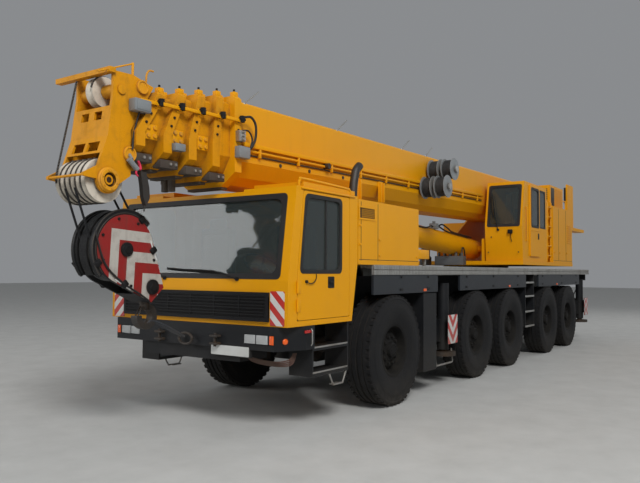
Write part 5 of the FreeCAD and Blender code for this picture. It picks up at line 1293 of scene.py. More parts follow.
@dataclass
class Upper:
    """Sliding-door cab, power unit and winch of the slewing upper."""

    shop: Workshop
    cab_inner: float = 0.53
    cab_outer: float = 1.27
    front: float = -5.35
    lean: float = 0.17
    waist: float = 2.56
    above_waist: float = 0.90
    panes_up: Limits = (2.58, 3.38)
    side_pane: Limits = (-6.96, -6.50)
    door_panel: tuple[Limits, Limits] = ((-6.44, -5.81), (1.99, 3.42))
    door_pane: tuple[Limits, Limits] = ((-6.38, -5.87), (2.58, 3.36))
    rope_turns: int = 26
    rope_pitch: float = 0.027

    def front_pane(self, grow: float, proud: float) -> list[Vector]:
        """Corners on the cab's leaning front, so far out from its window's edge and face."""
        across = widened((self.cab_inner + 0.06, self.cab_outer - 0.06), grow)
        corners = front_face(row(self.front) + proud, across, widened(self.panes_up, grow))
        slope = self.lean / self.above_waist
        return [Vector((x - slope * max(z - self.waist, 0.0), y, z)) for x, y, z in corners]

    def cab(self) -> None:
        """Glass, seals and door of the operator's cab."""
        glass = Shape().plate(self.front_pane(0.0, -0.012), (-0.006, 0, 0), 0.03)
        seal = Shape().surround(self.front_pane(0.02, 0.005), self.front_pane(-0.03, 0.005), (-0.022, 0, 0),
                                0.04, 0.07)
        for y, way in ((self.cab_outer, 1), (self.cab_inner, -1)):
            glass.plate(side_face(self.side_pane, self.panes_up, y - way * 0.012), (0, -way * 0.006, 0), 0.03)
            face = y - way * 0.002
            outer, inner = (side_face(widened(self.side_pane, grow), widened(self.panes_up, grow), face)
                            for grow in (0.015, -0.03))
            seal.surround(outer, inner, (0, -way * 0.02, 0), 0.04, 0.06)
        self.shop.fit("crane_cab_glass", glass, "turntable", GLASS, "cab_glass")
        self.shop.fit("crane_cab_seals", seal, "turntable", SEAL, "trim_black")
        self.door()

    def door(self) -> None:
        """The sliding door with its window."""
        y = self.cab_outer + 0.0303
        skin = Shape().surround(side_face(*self.door_panel, y), side_face(*self.door_pane, y), (0, -0.030, 0),
                                0.02, 0.06)
        skin.block(span(-6.40, -5.85), (y - 0.002, y + 0.006), (2.50, 2.52), 0.002)
        self.shop.fit("crane_door_skin", skin, "crane_cab_door", YELLOW, "body_paint", ("crane_cab_door",))
        glass = Shape().plate(side_face(*self.door_pane, y - 0.012), (0, -0.006, 0), 0.06)
        self.shop.fit("crane_door_glass", glass, "crane_cab_door", GLASS, "cab_glass")
        outer, inner = (side_face(*(widened(limits, grow) for limits in self.door_pane), y + 0.003)
                        for grow in (0.015, -0.03))
        seal = Shape().surround(outer, inner, (0, -0.02, 0), 0.06, 0.06)
        seal.block(span(-6.36, -6.30), (y - 0.001, y + 0.012), (2.34, 2.46), 0.004)
        self.shop.fit("crane_door_seal", seal, "crane_cab_door", SEAL, "trim_black")

    def ladder(self) -> None:
        """Ladder and rails between the cab and the power unit."""
        shape = Shape()
        for station in (-7.14, -7.42):
            shape.pipe(placed([(station, 1.24, 1.90), (station, 1.26, 3.18), (station, 1.20, 3.24),
                               (station, 1.0, 3.24)]), 0.016)
        for k in range(6):
            z = 2.02 + 0.21 * k
            shape.block(span(-7.42, -7.14), (1.235, 1.275), (z, z + 0.022), 0.004)
        for z in (2.1, 2.9):
            shape.rod((row(-7.42), 1.25, z), (row(-7.50), 1.25, z), 0.012)
        self.shop.fit("upper_ladder", shape, "turntable", YELLOW, "body_paint")

    def power_unit(self) -> None:
        """Seams, louvres and latches of the power unit housings."""
        seams, louvres = Shape(), Shape()
        for way, top in ((1, 3.10), (-1, 2.80)):
            y = beside(way, 1.288, 1.2925)
            for station in (-7.92, -8.55):
                seams.block(near(row(station), 0.004), y, (1.93, top))
            seams.block(span(-9.10, -7.50), y, (1.93, 1.936))
            for k in range(9):
                z = 2.35 + 0.05 * k
                louvres.block(span(-9.0, -8.65), beside(way, 1.286, 1.302), (z, z + 0.018), 0.004)
            for station in (-7.60, -8.0, -8.62):
                louvres.block(near(row(station), 0.03), beside(way, 1.288, 1.304), (2.1, 2.13), 0.005)
        self.shop.fit("housing_seams", seams, "turntable", SEAL, "trim_black")
        self.shop.fit("housing_louvres", louvres, "turntable", YELLOW, "body_paint")

    def cooler(self) -> None:
        """Louvres, mesh and pipes of the cooler, and the plate on the tail rail."""
        dark, trim = Shape(), Shape()
        for k in range(9):
            z = 3.20 + 0.048 * k
            trim.block(span(-8.95, -8.35), (1.098, 1.112), (z, z + 0.016), 0.004)
        dark.block(span(-8.30, -8.03), (1.0985, 1.103), (3.20, 3.61), 0.003)
        dark.block(span(-7.951, -7.944), (0.70, 1.04), (3.22, 3.58), 0.002)
        for k in range(8):
            z = 3.235 + 0.045 * k
            trim.block(span(-7.950, -7.938), (0.70, 1.04), (z, z + 0.010), 0.002)
        for station in (-9.46, -9.40):
            trim.rod((row(station), 1.07, 2.74), (row(station), 1.07, 3.42), 0.014, 12)
        trim.rod((row(-9.46), 1.07, 3.40), (row(-9.05), 1.07, 3.40), 0.014, 12)
        pipe = Shape().pipe(cord_route([(-7.95, 0.90, 3.50), (-7.86, 0.92, 3.52), (-7.80, 0.95, 3.44),
                                        (-7.80, 0.97, 3.20), (-7.80, 0.97, 3.12)]), 0.020, 12)
        pipe.pipe(cord_route([(-7.95, 0.80, 3.34), (-7.80, 0.80, 3.36), (-7.70, 0.80, 3.25),
                              (-7.70, 0.80, 3.12)]), 0.026, 12)
        dark.block(span(-9.52, -9.47), (1.02, 1.06), (3.38, 3.76), 0.004)
        self.shop.fit("cooler_louvres", trim, "turntable", YELLOW, "body_paint")
        self.shop.fit("cooler_mesh", dark, "turntable", BLACK, "trim_black")
        self.shop.fit("cooler_pipes", pipe, "turntable", ALLOY, "bare_alloy")

    def cab_fittings(self) -> None:
        """Wiper, lamp, bolts and handrail of the operator's cab."""
        wiper = Shape().rod((row(-5.355), 0.80, 2.50), (row(-5.325), 0.80, 2.50), 0.022)
        wiper.pipe(placed([(-5.325, 0.80, 2.50), (-5.335, 0.74, 2.80), (-5.42, 0.66, 3.22)]), 0.009)
        wiper.pipe(placed([(-5.335, 0.70, 2.72), (-5.42, 0.62, 3.26)]), 0.007)
        wiper.block(span(-5.352, -5.30), (1.00, 1.09), (2.42, 2.50), 0.012)
        wiper.rod((row(-5.30), 1.045, 2.46), (row(-5.285), 1.045, 2.46), 0.03, 18)
        wiper.pipe(cord_route([(-5.345, 1.05, 2.42), (-5.325, 1.06, 2.34), (-5.345, 1.07, 2.26)]), 0.007)
        self.shop.fit("crane_cab_wiper", wiper, "turntable", BLACK, "trim_black")
        seams = Shape()
        for y, z in ((0.60, 2.06), (1.20, 2.06), (0.66, 2.36)):
            seams.rod((row(-5.36), y, z), (row(-5.343), y, z), 0.012, 10)
        self.shop.fit("crane_cab_seams", seams, "turntable", SEAL, "trim_black")
        rail = Shape().pipe(cord_route([(-5.62, 1.262, 2.30), (-5.60, 1.292, 2.34), (-5.60, 1.292, 2.90),
                                        (-5.62, 1.262, 2.94)]), 0.011)
        self.shop.fit("crane_cab_rail", rail, "turntable", YELLOW, "body_paint")

    def machinery(self) -> None:
        """Slewing motor, valves and hoses about the cylinder's foot."""
        motor, hoses, valve = Shape(), Shape(), Shape()
        motor.lathe([(0.0, 0.0), (0.11, 0.0), (0.12, 0.02), (0.12, 0.16), (0.09, 0.19), (0.09, 0.34),
                     (0.06, 0.37), (0.0, 0.37)], (row(-5.05), -0.62, 1.80), (0, 0, 1), 28)
        motor.block(span(-4.95, -4.78), (-0.30, 0.30), (1.80, 1.98), 0.015)
        for k in range(5):
            y = -0.24 + 0.12 * k
            motor.rod((row(-4.865), y, 1.97), (row(-4.865), y, 2.04), 0.028, 12)
            hoses.pipe(cord_route([(-4.865, y, 2.03), (-4.90, y, 2.14), (-5.05, y * 0.9, 2.10),
                                   (-5.16, y * 0.8, 1.92)]), 0.014)
        self.shop.fit("slewing_motor", motor, "turntable", IRON, "engine_iron")
        self.shop.fit("slewing_hoses", hoses, "turntable", SEAL, "trim_black")
        valve.block(span(-3.96, -3.84), (0.02, 0.16), (2.455, 2.56), 0.008)
        valve.rod((row(-3.90), 0.09, 2.56), (row(-3.90), 0.09, 2.60), 0.03, 16)
        for y in (0.05, 0.13):
            valve.rod((row(-3.985), y, 2.50), (row(-3.95), y, 2.50), 0.017, 6)
        self.shop.fit("luffing_valve", valve, "luff_barrel", GREY, "engine_iron")
        feed = Shape()
        for y, dip in ((0.05, 0.0), (0.13, 0.03)):
            feed.pipe(cord_route([(-3.98, y, 2.50), (-4.10, y + 0.03, 2.52 + dip),
                                  (-4.30, y + 0.05, 2.47 + dip), (-4.62, y + 0.02, 2.435), (-5.20, y, 2.40),
                                  (-5.62, y, 2.372)]), 0.015)
        feed.pipe(cord_route([(-3.84, 0.09, 2.50), (-3.70, 0.13, 2.50), (-3.30, 0.16, 2.455),
                              (-2.30, 0.16, 2.515), (-1.95, 0.16, 2.53), (-1.88, 0.13, 2.545)]), 0.013)
        self.shop.fit("luffing_hoses", feed, "luff_barrel", SEAL, "trim_black")

    def rope_drum(self) -> None:
        """Rope wound on the hoist drum."""
        shape = Shape()
        strand = ((0.231, -0.0125), (0.240, -0.010), (0.2445, 0.0), (0.240, 0.010), (0.231, 0.0125),
                  (0.231, -0.0125))
        for k in range(self.rope_turns):
            y = -0.338 + self.rope_pitch * k
            shape.lathe([(r, y + u) for r, u in strand], (row(-9.3), 0, 2.45), (0, 1, 0), 40)
        self.shop.fit("drum_rope", shape, "winch", ROPE, "hook_steel")

    def build(self) -> None:
        """Fit the upper."""
        self.cab()
        self.cab_fittings()
        self.ladder()
        self.power_unit()
        self.cooler()
        self.machinery()
        self.rope_drum()


@dataclass
class Boom:
    """Fittings along the boom: conduit, brackets, hose reels and feelers."""

    shop: Workshop
    pin_x: float = -8.15
    pin_z: float = 3.10
    droop: float = 1.12
    half: float = 0.43
    top: float = 0.64

    def at(self, x: float, y: float, z: float) -> Vector:
        """A place drawn from the foot pin along the boom, in the row frame."""
        turn = Matrix.Rotation(math.radians(self.droop), 3, "Y")
        return Vector((row(self.pin_x), 0, self.pin_z)) + turn @ Vector((x, y, z))

    def route(self, points: Sequence[Point]) -> list[Vector]:
        """A rounded route through places drawn along the boom."""
        return smooth_route([self.at(*point) for point in points])

    def beam(self, shape: Shape, x: Limits, y: Limits, z: Limits, bevel: float = 0.0) -> Shape:
        """Add a block that lies along the boom.

        Args:
            shape: The shape that takes it.
            x: Its limits from the foot pin along the boom.
            y: Its limits across.
            z: Its limits upwards from the pin's line.
            bevel: Rounding of its edges.

        Returns:
            That shape.
        """
        part = Shape().block(x, y, z, bevel)
        turn = Matrix.Rotation(math.radians(self.droop), 4, "Y")
        place = Matrix.Translation((row(self.pin_x), 0, self.pin_z)) @ turn
        bmesh.ops.transform(part.mesh, matrix=place, verts=part.mesh.verts[:])
        return shape.absorb(part.mesh)

    def conduit(self) -> None:
        """Cable channel and pipes along the left side."""
        channel, pipes, clips = Shape(), Shape(), Shape()
        self.beam(channel, (2.75, 10.05), (self.half, self.half + 0.045), (0.135, 0.185), 0.004)
        ends = (2.75, 10.02)
        pipes.pipe([self.at(x, self.half + 0.022, 0.095) for x in ends], 0.016)
        cable = Shape().pipe([self.at(x, self.half + 0.010, 0.050) for x in ends], 0.008)
        for k in range(10):
            x = 3.0 + 0.75 * k
            self.beam(clips, (x, x + 0.03), (self.half - 0.002, self.half + 0.042), (0.035, 0.135), 0.003)
        self.shop.fit("boom_channel", channel, "boom", BOOM_YELLOW, "body_paint")
        self.shop.fit("boom_pipes", pipes, "boom", BOOM_YELLOW, "body_paint")
        self.shop.fit("boom_cable", cable, "boom", STEEL, "hook_steel")
        self.shop.fit("boom_clips", clips, "boom", BOOM_YELLOW, "body_paint")

    def tail(self) -> None:
        """Rear plate with its ribs and the end of the telescoping cylinder."""
        outline = [(-0.40, 0.61), (0.40, 0.61), (0.40, 0.02), (0.20, -0.24), (-0.20, -0.24), (-0.40, 0.02)]
        place = self.at(-0.40, 0.0, 0.27)
        back = self.at(-1, 0, 0) - self.at(0, 0, 0)
        plate = Shape().plate([self.at(-0.40, y, z) for y, z in outline], back * -0.018)
        for y in (-0.26, 0.26):
            self.beam(plate, (-0.445, -0.395), near(y, 0.009), (-0.10, 0.60), 0.003)
        for z in (0.06, 0.48):
            self.beam(plate, (-0.435, -0.395), (-0.395, 0.395), near(z, 0.008), 0.003)
        self.shop.fit("boom_tail_plate", plate, "boom", BOOM_YELLOW, "body_paint")
        profile = [(0.0, 0.045), (0.07, 0.045), (0.085, 0.035), (0.115, 0.035), (0.12, 0.0), (0.0, 0.0)]
        ram = Shape().lathe(profile, place, back, 36)
        for k in range(8):
            spoke = Vector((0, math.cos(k * math.pi / 4), math.sin(k * math.pi / 4))) * 0.10
            ram.bolts([self.at(-0.435, 0.0, 0.27) + spoke], back, 0.011, 0.009)
        ram.pipe(self.route([(-0.43, 0.04, 0.30), (-0.445, 0.10, 0.36), (-0.43, 0.20, 0.40),
                             (-0.415, 0.32, 0.42)]), 0.010)
        self.shop.fit("boom_tail_ram", ram, "boom", IRON, "engine_iron")

    def feelers(self) -> None:
        """Rope guide rods standing off the top edges."""
        shape = Shape()
        for _, side in SIDES:
            for x in (9.98, 8.06, 6.15, 5.27):
                foot = self.at(x, side * (self.half - 0.03), self.top - 0.012)
                shape.rod(foot, foot + Vector((-0.24, side * 0.02, 0.19)), 0.009, 8)
                shape.rod(foot - Vector((0, 0, 0.02)), foot + Vector((-0.012, 0, 0.012)), 0.018, 8)
        self.shop.fit("rope_guide_rods", shape, "boom", ALLOY, "bare_alloy")

    def reels(self) -> None:
        """Four hose reels on the left side."""
        reels, hoses, arms = Shape(), Shape(), Shape()
        for x, z in ((5.19, 3.385), (5.47, 3.065)):
            centre = Vector((row(self.pin_x) + x, 0, z))
            for start in (0.47, 0.71):
                middle = centre + Vector((0, start + 0.10, 0))
                flanges = [(0.03, -0.09), (0.185, -0.09), (0.185, -0.08), (0.075, -0.075), (0.075, 0.075),
                           (0.185, 0.08), (0.185, 0.09), (0.03, 0.09), (0.03, -0.09)]
                reels.lathe(flanges, middle, (0, 1, 0), 40)
                wound = [(0.076, -0.07)]
                for k in range(6):
                    y = -0.058 + 0.0233 * k
                    wound += [(0.150, y - 0.010), (0.160, y), (0.150, y + 0.010)]
                wound += [(0.076, 0.07), (0.076, -0.07)]
                hoses.lathe(wound, middle, (0, 1, 0), 40)
            arms.rod(centre + Vector((0, self.half - 0.01, 0)), centre + Vector((0, 0.93, 0)), 0.03)
            arms.rod(centre + Vector((0, 0.915, 0)), centre + Vector((0, 0.945, 0)), 0.055, 20)
        self.shop.fit("reel_flanges", reels, "boom", GREY, "engine_iron")
        self.shop.fit("reel_hoses", hoses, "boom", SEAL, "trim_black")
        self.shop.fit("reel_shafts", arms, "boom", ALLOY, "bare_alloy")

    def brackets(self) -> None:
        """Jib brackets and plugs on the base section's sides, a pipe stub and a junction box."""
        shape, dark, grey = Shape(), Shape(), Shape()
        for _, side in SIDES:
            tab = beside(side, self.half - 0.003, self.half + 0.05)
            plate = beside(side, self.half - 0.003, self.half + 0.012)
            for x in (7.58, 6.90):
                self.beam(shape, (x - 0.055, x - 0.035), tab, (-0.27, 0.02), 0.003)
                self.beam(shape, (x + 0.035, x + 0.055), tab, (-0.27, 0.02), 0.003)
                self.beam(shape, near(x, 0.07), plate, (-0.275, 0.05), 0.004)
            for x in (9.35, 8.75, 7.95):
                place = self.at(x, side * self.half, 0.0)
                dark.bolts([place], (0, side, 0), 0.022, 0.012)
        stub = self.at(8.40, 0.50, 0.10)
        dark.rod(stub - Vector((0, 0.075, 0)), stub + Vector((0, 0.012, 0)), 0.038, 20)
        grey.block(span(1.87, 2.05), (self.half + 0.026, self.half + 0.11), (2.89, 3.02), 0.012)
        self.shop.fit("jib_brackets", shape, "boom", BOOM_YELLOW, "body_paint")
        self.shop.fit("boom_plugs", dark, "boom", STEEL, "hook_steel")
        self.shop.fit("boom_junction_box", grey, "boom", GREY, "engine_iron")

    def build(self) -> None:
        """Fit the boom."""
        self.conduit()
        self.tail()
        self.feelers()
        self.reels()
        self.brackets()


@dataclass
class BoomHead:
    """Boxes, bars, cables and the hanging weight of the boom's head."""

    shop: Workshop
    face: float = 0.275
    shaft: Point = (3.56, 0.0, 2.485)

    def spot(self, station: float, z: float, proud: float = 0.0) -> Vector:
        """A place on the left plate, so far outside it."""
        return Vector((row(station), self.face + proud, z))

    def route(self, points: Sequence[Point]) -> list[Vector]:
        """A rounded route through places on the left plate, each a station, a height and a way out."""
        return smooth_route([self.spot(*point) for point in points])

    def boxes(self) -> None:
        """Grey terminal box, round bosses and the lower shaft's open hubs."""
        grey = Shape().block(span(3.145, 3.345), (self.face, self.face + 0.10), (3.165, 3.285), 0.012)
        grey.block(span(3.165, 3.325), (self.face + 0.099, self.face + 0.106), (3.18, 3.27), 0.004)
        self.shop.fit("head_terminal_box", grey, "section_6", GREY, "engine_iron")
        bosses = Shape()
        for side in (1, -1):
            for station, z, radius in ((3.185, 3.425, 0.068), (3.324, 2.755, 0.072)):
                rings = [(0.0, 0.016), (radius * 0.72, 0.016), (radius * 0.78, 0.024), (radius * 0.94, 0.024),
                         (radius, 0.018), (radius, 0.0), (0.0, 0.0)]
                bosses.lathe(rings, (row(station), side * self.face, z), (0, side, 0), 32)
        shaft = Shape()
        for side in (1, -1):
            hub = (row(self.shaft[0]), side * self.face, self.shaft[2])
            bosses.lathe([(0.066, -0.002), (0.115, -0.002), (0.115, 0.010), (0.104, 0.020), (0.104, 0.034),
                          (0.098, 0.038), (0.072, 0.038), (0.066, 0.032)], hub, (0, side, 0), 40)
            shaft.lathe([(0.0, 0.004), (0.068, 0.004), (0.068, -0.002), (0.0, -0.002)], hub, (0, side, 0), 32)
            shaft.lathe([(0.0, 0.022), (0.024, 0.020), (0.028, 0.014), (0.028, 0.002), (0.0, 0.002)], hub,
                        (0, side, 0), 20)
            for k in range(6):
                spoke = Vector((math.cos(k * math.pi / 3 + 0.3), 0, math.sin(k * math.pi / 3 + 0.3))) * 0.085
                bosses.bolts([Vector(hub) + spoke + Vector((0, side * 0.037, 0))], (0, side, 0), 0.009, 0.008)
        self.shop.fit("head_shaft_end", shaft, "section_6", RUST, "hook_steel")
        self.shop.fit("head_bosses", bosses, "section_6", PALE_YELLOW, "body_paint")

    def bars(self) -> None:
        """Posts and guard bars at the top, and the sheave's spacers."""
        bars = Shape()
        bars.rod(self.spot(3.289, 3.505, -0.015), self.spot(3.289, 3.641, -0.015), 0.013)
        bars.rod(self.spot(3.289, 3.632, -0.015), self.spot(3.687, 3.461, -0.015), 0.008)
        bars.pipe(self.route([(3.109, 3.50, -0.03), (3.105, 3.57, -0.03), (3.075, 3.62, -0.03),
                              (3.02, 3.628, -0.03)]), 0.010)
        for side in (1, -1):
            bars.rod((row(3.43), side * 0.062, 3.35), (row(3.43), side * 0.245, 3.35), 0.066, 24)
            bars.rod((row(3.30), side * 0.10, 3.06), (row(3.30), side * 0.245, 3.06), 0.03)
        self.shop.fit("head_bars", bars, "section_6", PALE_YELLOW, "body_paint")

    def ropes(self) -> None:
        """Hoist rope down the front and its turns on the sheaves."""
        rope = Shape()
        centre = Vector((row(self.shaft[0]), 0, self.shaft[2]))
        for number in range(5):
            y = -0.15 + 0.075 * number
            rope.pipe(arc_points(centre + Vector((0, y, 0)), 0.2065, 0.0, 2 * math.pi, 36), 0.009)
        rope.pipe(placed([(3.585, -0.185, 3.46), (3.774, -0.185, 2.56), (3.778, -0.185, 2.46)]), 0.010)
        rope.pipe(arc_points((row(3.43), 0.03, 3.35), 0.152, math.pi * 1.15, math.pi * 0.05, 20), 0.009)
        self.shop.fit("head_ropes", rope, "section_6", ROPE, "hook_steel")

    def weight(self) -> None:
        """Cable to the limit switch, its ribbon and its hanging weight."""
        cable = Shape().pipe(self.route([(3.253, 3.165, 0.05), (3.26, 3.10, 0.03), (3.29, 2.95, 0.02),
                                         (3.30, 2.86, 0.02), (3.31, 2.80, 0.03)]), 0.009)
        cable.pipe(self.route([(3.19, 3.165, 0.05), (3.15, 3.10, 0.03), (3.11, 3.11, 0.02),
                               (3.07, 3.17, 0.012)]), 0.007)
        self.shop.fit("head_cables", cable, "section_6", SEAL, "trim_black")
        switch = Shape().rod(self.spot(3.365, 2.70, 0.045), self.spot(3.262, 2.615, 0.045), 0.026, 20)
        switch.rod(self.spot(3.33, 2.75, 0.01), self.spot(3.33, 2.70, 0.05), 0.016)
        self.shop.fit("limit_switch", switch, "section_6", GREY, "engine_iron")
        ribbon = Shape().pipe(self.route([(3.27, 2.665, 0.02), (3.235, 2.62, 0.05), (3.215, 2.655, 0.03),
                                          (3.24, 2.70, 0.03)]), 0.012)
        ribbon.pipe(self.route([(3.25, 2.64, 0.04), (3.28, 2.58, 0.05), (3.25, 2.555, 0.04)]), 0.010)
        self.shop.fit("switch_ribbon", ribbon, "section_6", RIBBON, "hook_paint")
        weight = Shape()
        weight.rod(self.spot(3.215, 2.66, 0.02), self.spot(3.19, 2.58, 0.02), 0.014)
        outline = ((3.225, 2.60), (3.155, 2.60), (3.115, 2.46), (3.105, 2.36), (3.150, 2.275), (3.185, 2.36),
                   (3.200, 2.48))
        weight.plate([self.spot(*corner) for corner in outline], (0, 0.05, 0), 0.012)
        weight.pipe([self.spot(3.15, 2.30, 0.025), self.spot(3.15, 2.22, 0.02)], 0.006)
        self.shop.fit("limit_weight", weight, "section_6", STEEL, "hook_steel")

    def build(self) -> None:
        """Fit the head."""
        self.boxes()
        self.bars()
        self.ropes()
        self.weight()


@dataclass
class Collars:
    """Pads, bolts, lugs, bars and boxes round the sections' collars."""

    shop: Workshop
    boom: Boom
    first: float = 10.2
    pitch: float = 0.31
    shift: float = 0.07
    step: float = 0.034
    count: int = 5
    chin: float = 0.205
    head_start: float = 11.458

    def body(self, number: int) -> str:
        """The body that carries a collar."""
        return "boom" if number == 0 else f"section_{number + 1}"

    def dress(self, number: int) -> None:
        """Everything on one collar."""
        front = self.first + self.pitch * number
        half = 0.464 - self.step * number
        low = -0.314 + self.step * number
        top = 0.674 - self.step * number
        back = self.shift * number
        lean = back / (top - 0.11)
        dark, bolts, yellow, plugs = Shape(), Shape(), Shape(), Shape()
        beam = self.boom.beam
        beam(dark, (front - 0.105, front - 0.005), near(0.0, half - self.chin), (low - 0.028, low), 0.004)
        for _, side in SIDES:
            out = (0, side, 0)
            if number:
                pad = beside(side, half - 0.17, half - 0.055)
                beam(dark, (front - 0.245, front - 0.012), pad, (low + 0.006, low + 0.090), 0.005)
                for x in (front - 0.21, front - 0.14):
                    bolts.bolts([self.boom.at(x, side * (half - 0.056), low + 0.052)], out, 0.016, 0.014)
            for z in (0.21, 0.30, 0.39):
                place = self.boom.at(front - 0.055 - lean * (z - 0.11), side * half, z)
                plugs.bolts([place], out, 0.013, 0.012)
            x = front - 0.085 - lean * (0.41 - 0.11)
            beam(yellow, (x - 0.03, x + 0.25), beside(side, half + 0.004, half + 0.034), (0.385, 0.42), 0.004)
            beam(yellow, (x - 0.03, x + 0.05), beside(side, half - 0.006, half + 0.008), (0.36, 0.445), 0.004)
            plug = self.boom.at(x, side * (half + 0.034), 0.42)
            for reach, radius, flats in (((0, 0, 0.035), 0.030, 16), ((0.045, 0, 0), 0.016, 10)):
                plugs.rod(plug - Vector(reach), plug + Vector(reach), radius, flats)
            x = front - back - 0.10
            eye, lug = beside(side, half - 0.10, half - 0.035), beside(side, half - 0.22, half - 0.17)
            beam(yellow, (x, x + 0.07), eye, (top - 0.004, top + 0.055), 0.008)
            beam(yellow, (x + 0.10, x + 0.16), lug, (top - 0.05, top + 0.02), 0.006)
            place = self.boom.at(x + 0.035, side * (half - 0.068), top + 0.055)
            plugs.rod(place, place + Vector((0, 0, 0.03)), 0.012, 10)
        body = self.body(number)
        self.shop.fit(f"collar_pads_{number + 1}", dark, body, PAD, "sheave_nylon")
        if number:
            self.shop.fit(f"collar_pad_bolts_{number + 1}", bolts, body, ALLOY, "bare_alloy")
        self.shop.fit(f"collar_brackets_{number + 1}", yellow, body, BOOM_YELLOW, "body_paint")
        self.shop.fit(f"collar_plugs_{number + 1}", plugs, body, BLACK, "trim_black")

    def undersides(self) -> None:
        """Greasy slide rails under the tubes between the collars."""
        for number in range(1, self.count + 1):
            start = self.first + self.pitch * (number - 1) + 0.004
            end = self.first + self.pitch * number - 0.25 if number < self.count else self.head_start
            low = -0.28 + self.step * number
            reach = self.boom.half - self.step * number - self.chin
            rails = Shape()
            self.boom.beam(rails, (start, end), near(0.0, reach), (low - 0.012, low + 0.001), 0.003)
            for _, side in SIDES:
                edge = beside(side, reach - 0.02, reach + 0.05)
                self.boom.beam(rails, (start, end), edge, (low - 0.004, low + 0.045), 0.003)
            self.shop.fit(f"slide_rails_{number + 1}", rails, self.body(number), PAD, "sheave_nylon")

    def clusters(self) -> None:
        """Bolted plates on the tubes between the collars."""
        screw = [(0.0, 0.02), (0.018, 0.018), (0.024, 0.008), (0.024, 0.0), (0.0, 0.0)]
        for number, x, z in ((2, 10.60, 0.10), (3, 10.92, 0.115), (4, 11.235, 0.127)):
            plates, bolts = Shape(), Shape()
            half = self.boom.half - self.step * number
            for _, side in SIDES:
                plate = beside(side, half - 0.002, half + 0.014)
                self.boom.beam(plates, near(x, 0.075), plate, near(z, 0.075), 0.005)
                for u, v in ((-0.04, -0.04), (0.04, -0.04), (0.04, 0.04), (-0.04, 0.04)):
                    bolts.lathe(screw, self.boom.at(x + u, side * (half + 0.013), z + v), (0, side, 0), 14)
            self.shop.fit(f"pad_plates_{number + 1}", plates, self.body(number), BOOM_YELLOW, "body_paint")
            self.shop.fit(f"pad_screws_{number + 1}", bolts, self.body(number), PALE_YELLOW, "body_paint")

    def boxes(self) -> None:
        """Grey box on section 4, hose loop and valve at the base collar, and a clevis below."""
        grey = Shape()
        self.boom.beam(grey, (10.875, 11.012), (0.327, 0.41), (-0.03, 0.045), 0.008)
        self.shop.fit("section_4_box", grey, "section_4", GREY, "engine_iron")
        loop = [(10.07, 0.50, 0.45), (10.0, 0.53, 0.455), (9.93, 0.535, 0.38), (9.925, 0.53, 0.24),
                (9.97, 0.52, 0.14), (10.0, 0.51, 0.11)]
        short = [(10.10, 0.49, 0.30), (10.02, 0.51, 0.30), (9.96, 0.51, 0.22), (9.99, 0.51, 0.12)]
        hose = Shape().pipe(self.boom.route(loop), 0.014)
        hose.pipe(self.boom.route(short), 0.010)
        self.shop.fit("collar_hoses", hose, "boom", SEAL, "trim_black")
        valve = Shape()
        self.boom.beam(valve, (10.09, 10.19), (0.463, 0.53), (0.17, 0.29), 0.01)
        for z in (0.19, 0.23, 0.27):
            place = self.boom.at(10.14, 0.53, z)
            valve.rod(place, place + Vector((0, 0.03, 0)), 0.014, 12)
        self.shop.fit("collar_valve", valve, "boom", ALLOY, "bare_alloy")
        clevis = Shape()
        for y in ((0.02, 0.08), (-0.08, -0.02)):
            self.boom.beam(clevis, (10.70, 10.76), y, (-0.40, -0.27), 0.008)
        self.shop.fit("pad_clevis", clevis, "section_3", PAD, "hook_steel")

    def build(self) -> None:
        """Fit the five collars."""
        for number in range(self.count):
            self.dress(number)
        self.undersides()
        self.clusters()
        self.boxes()


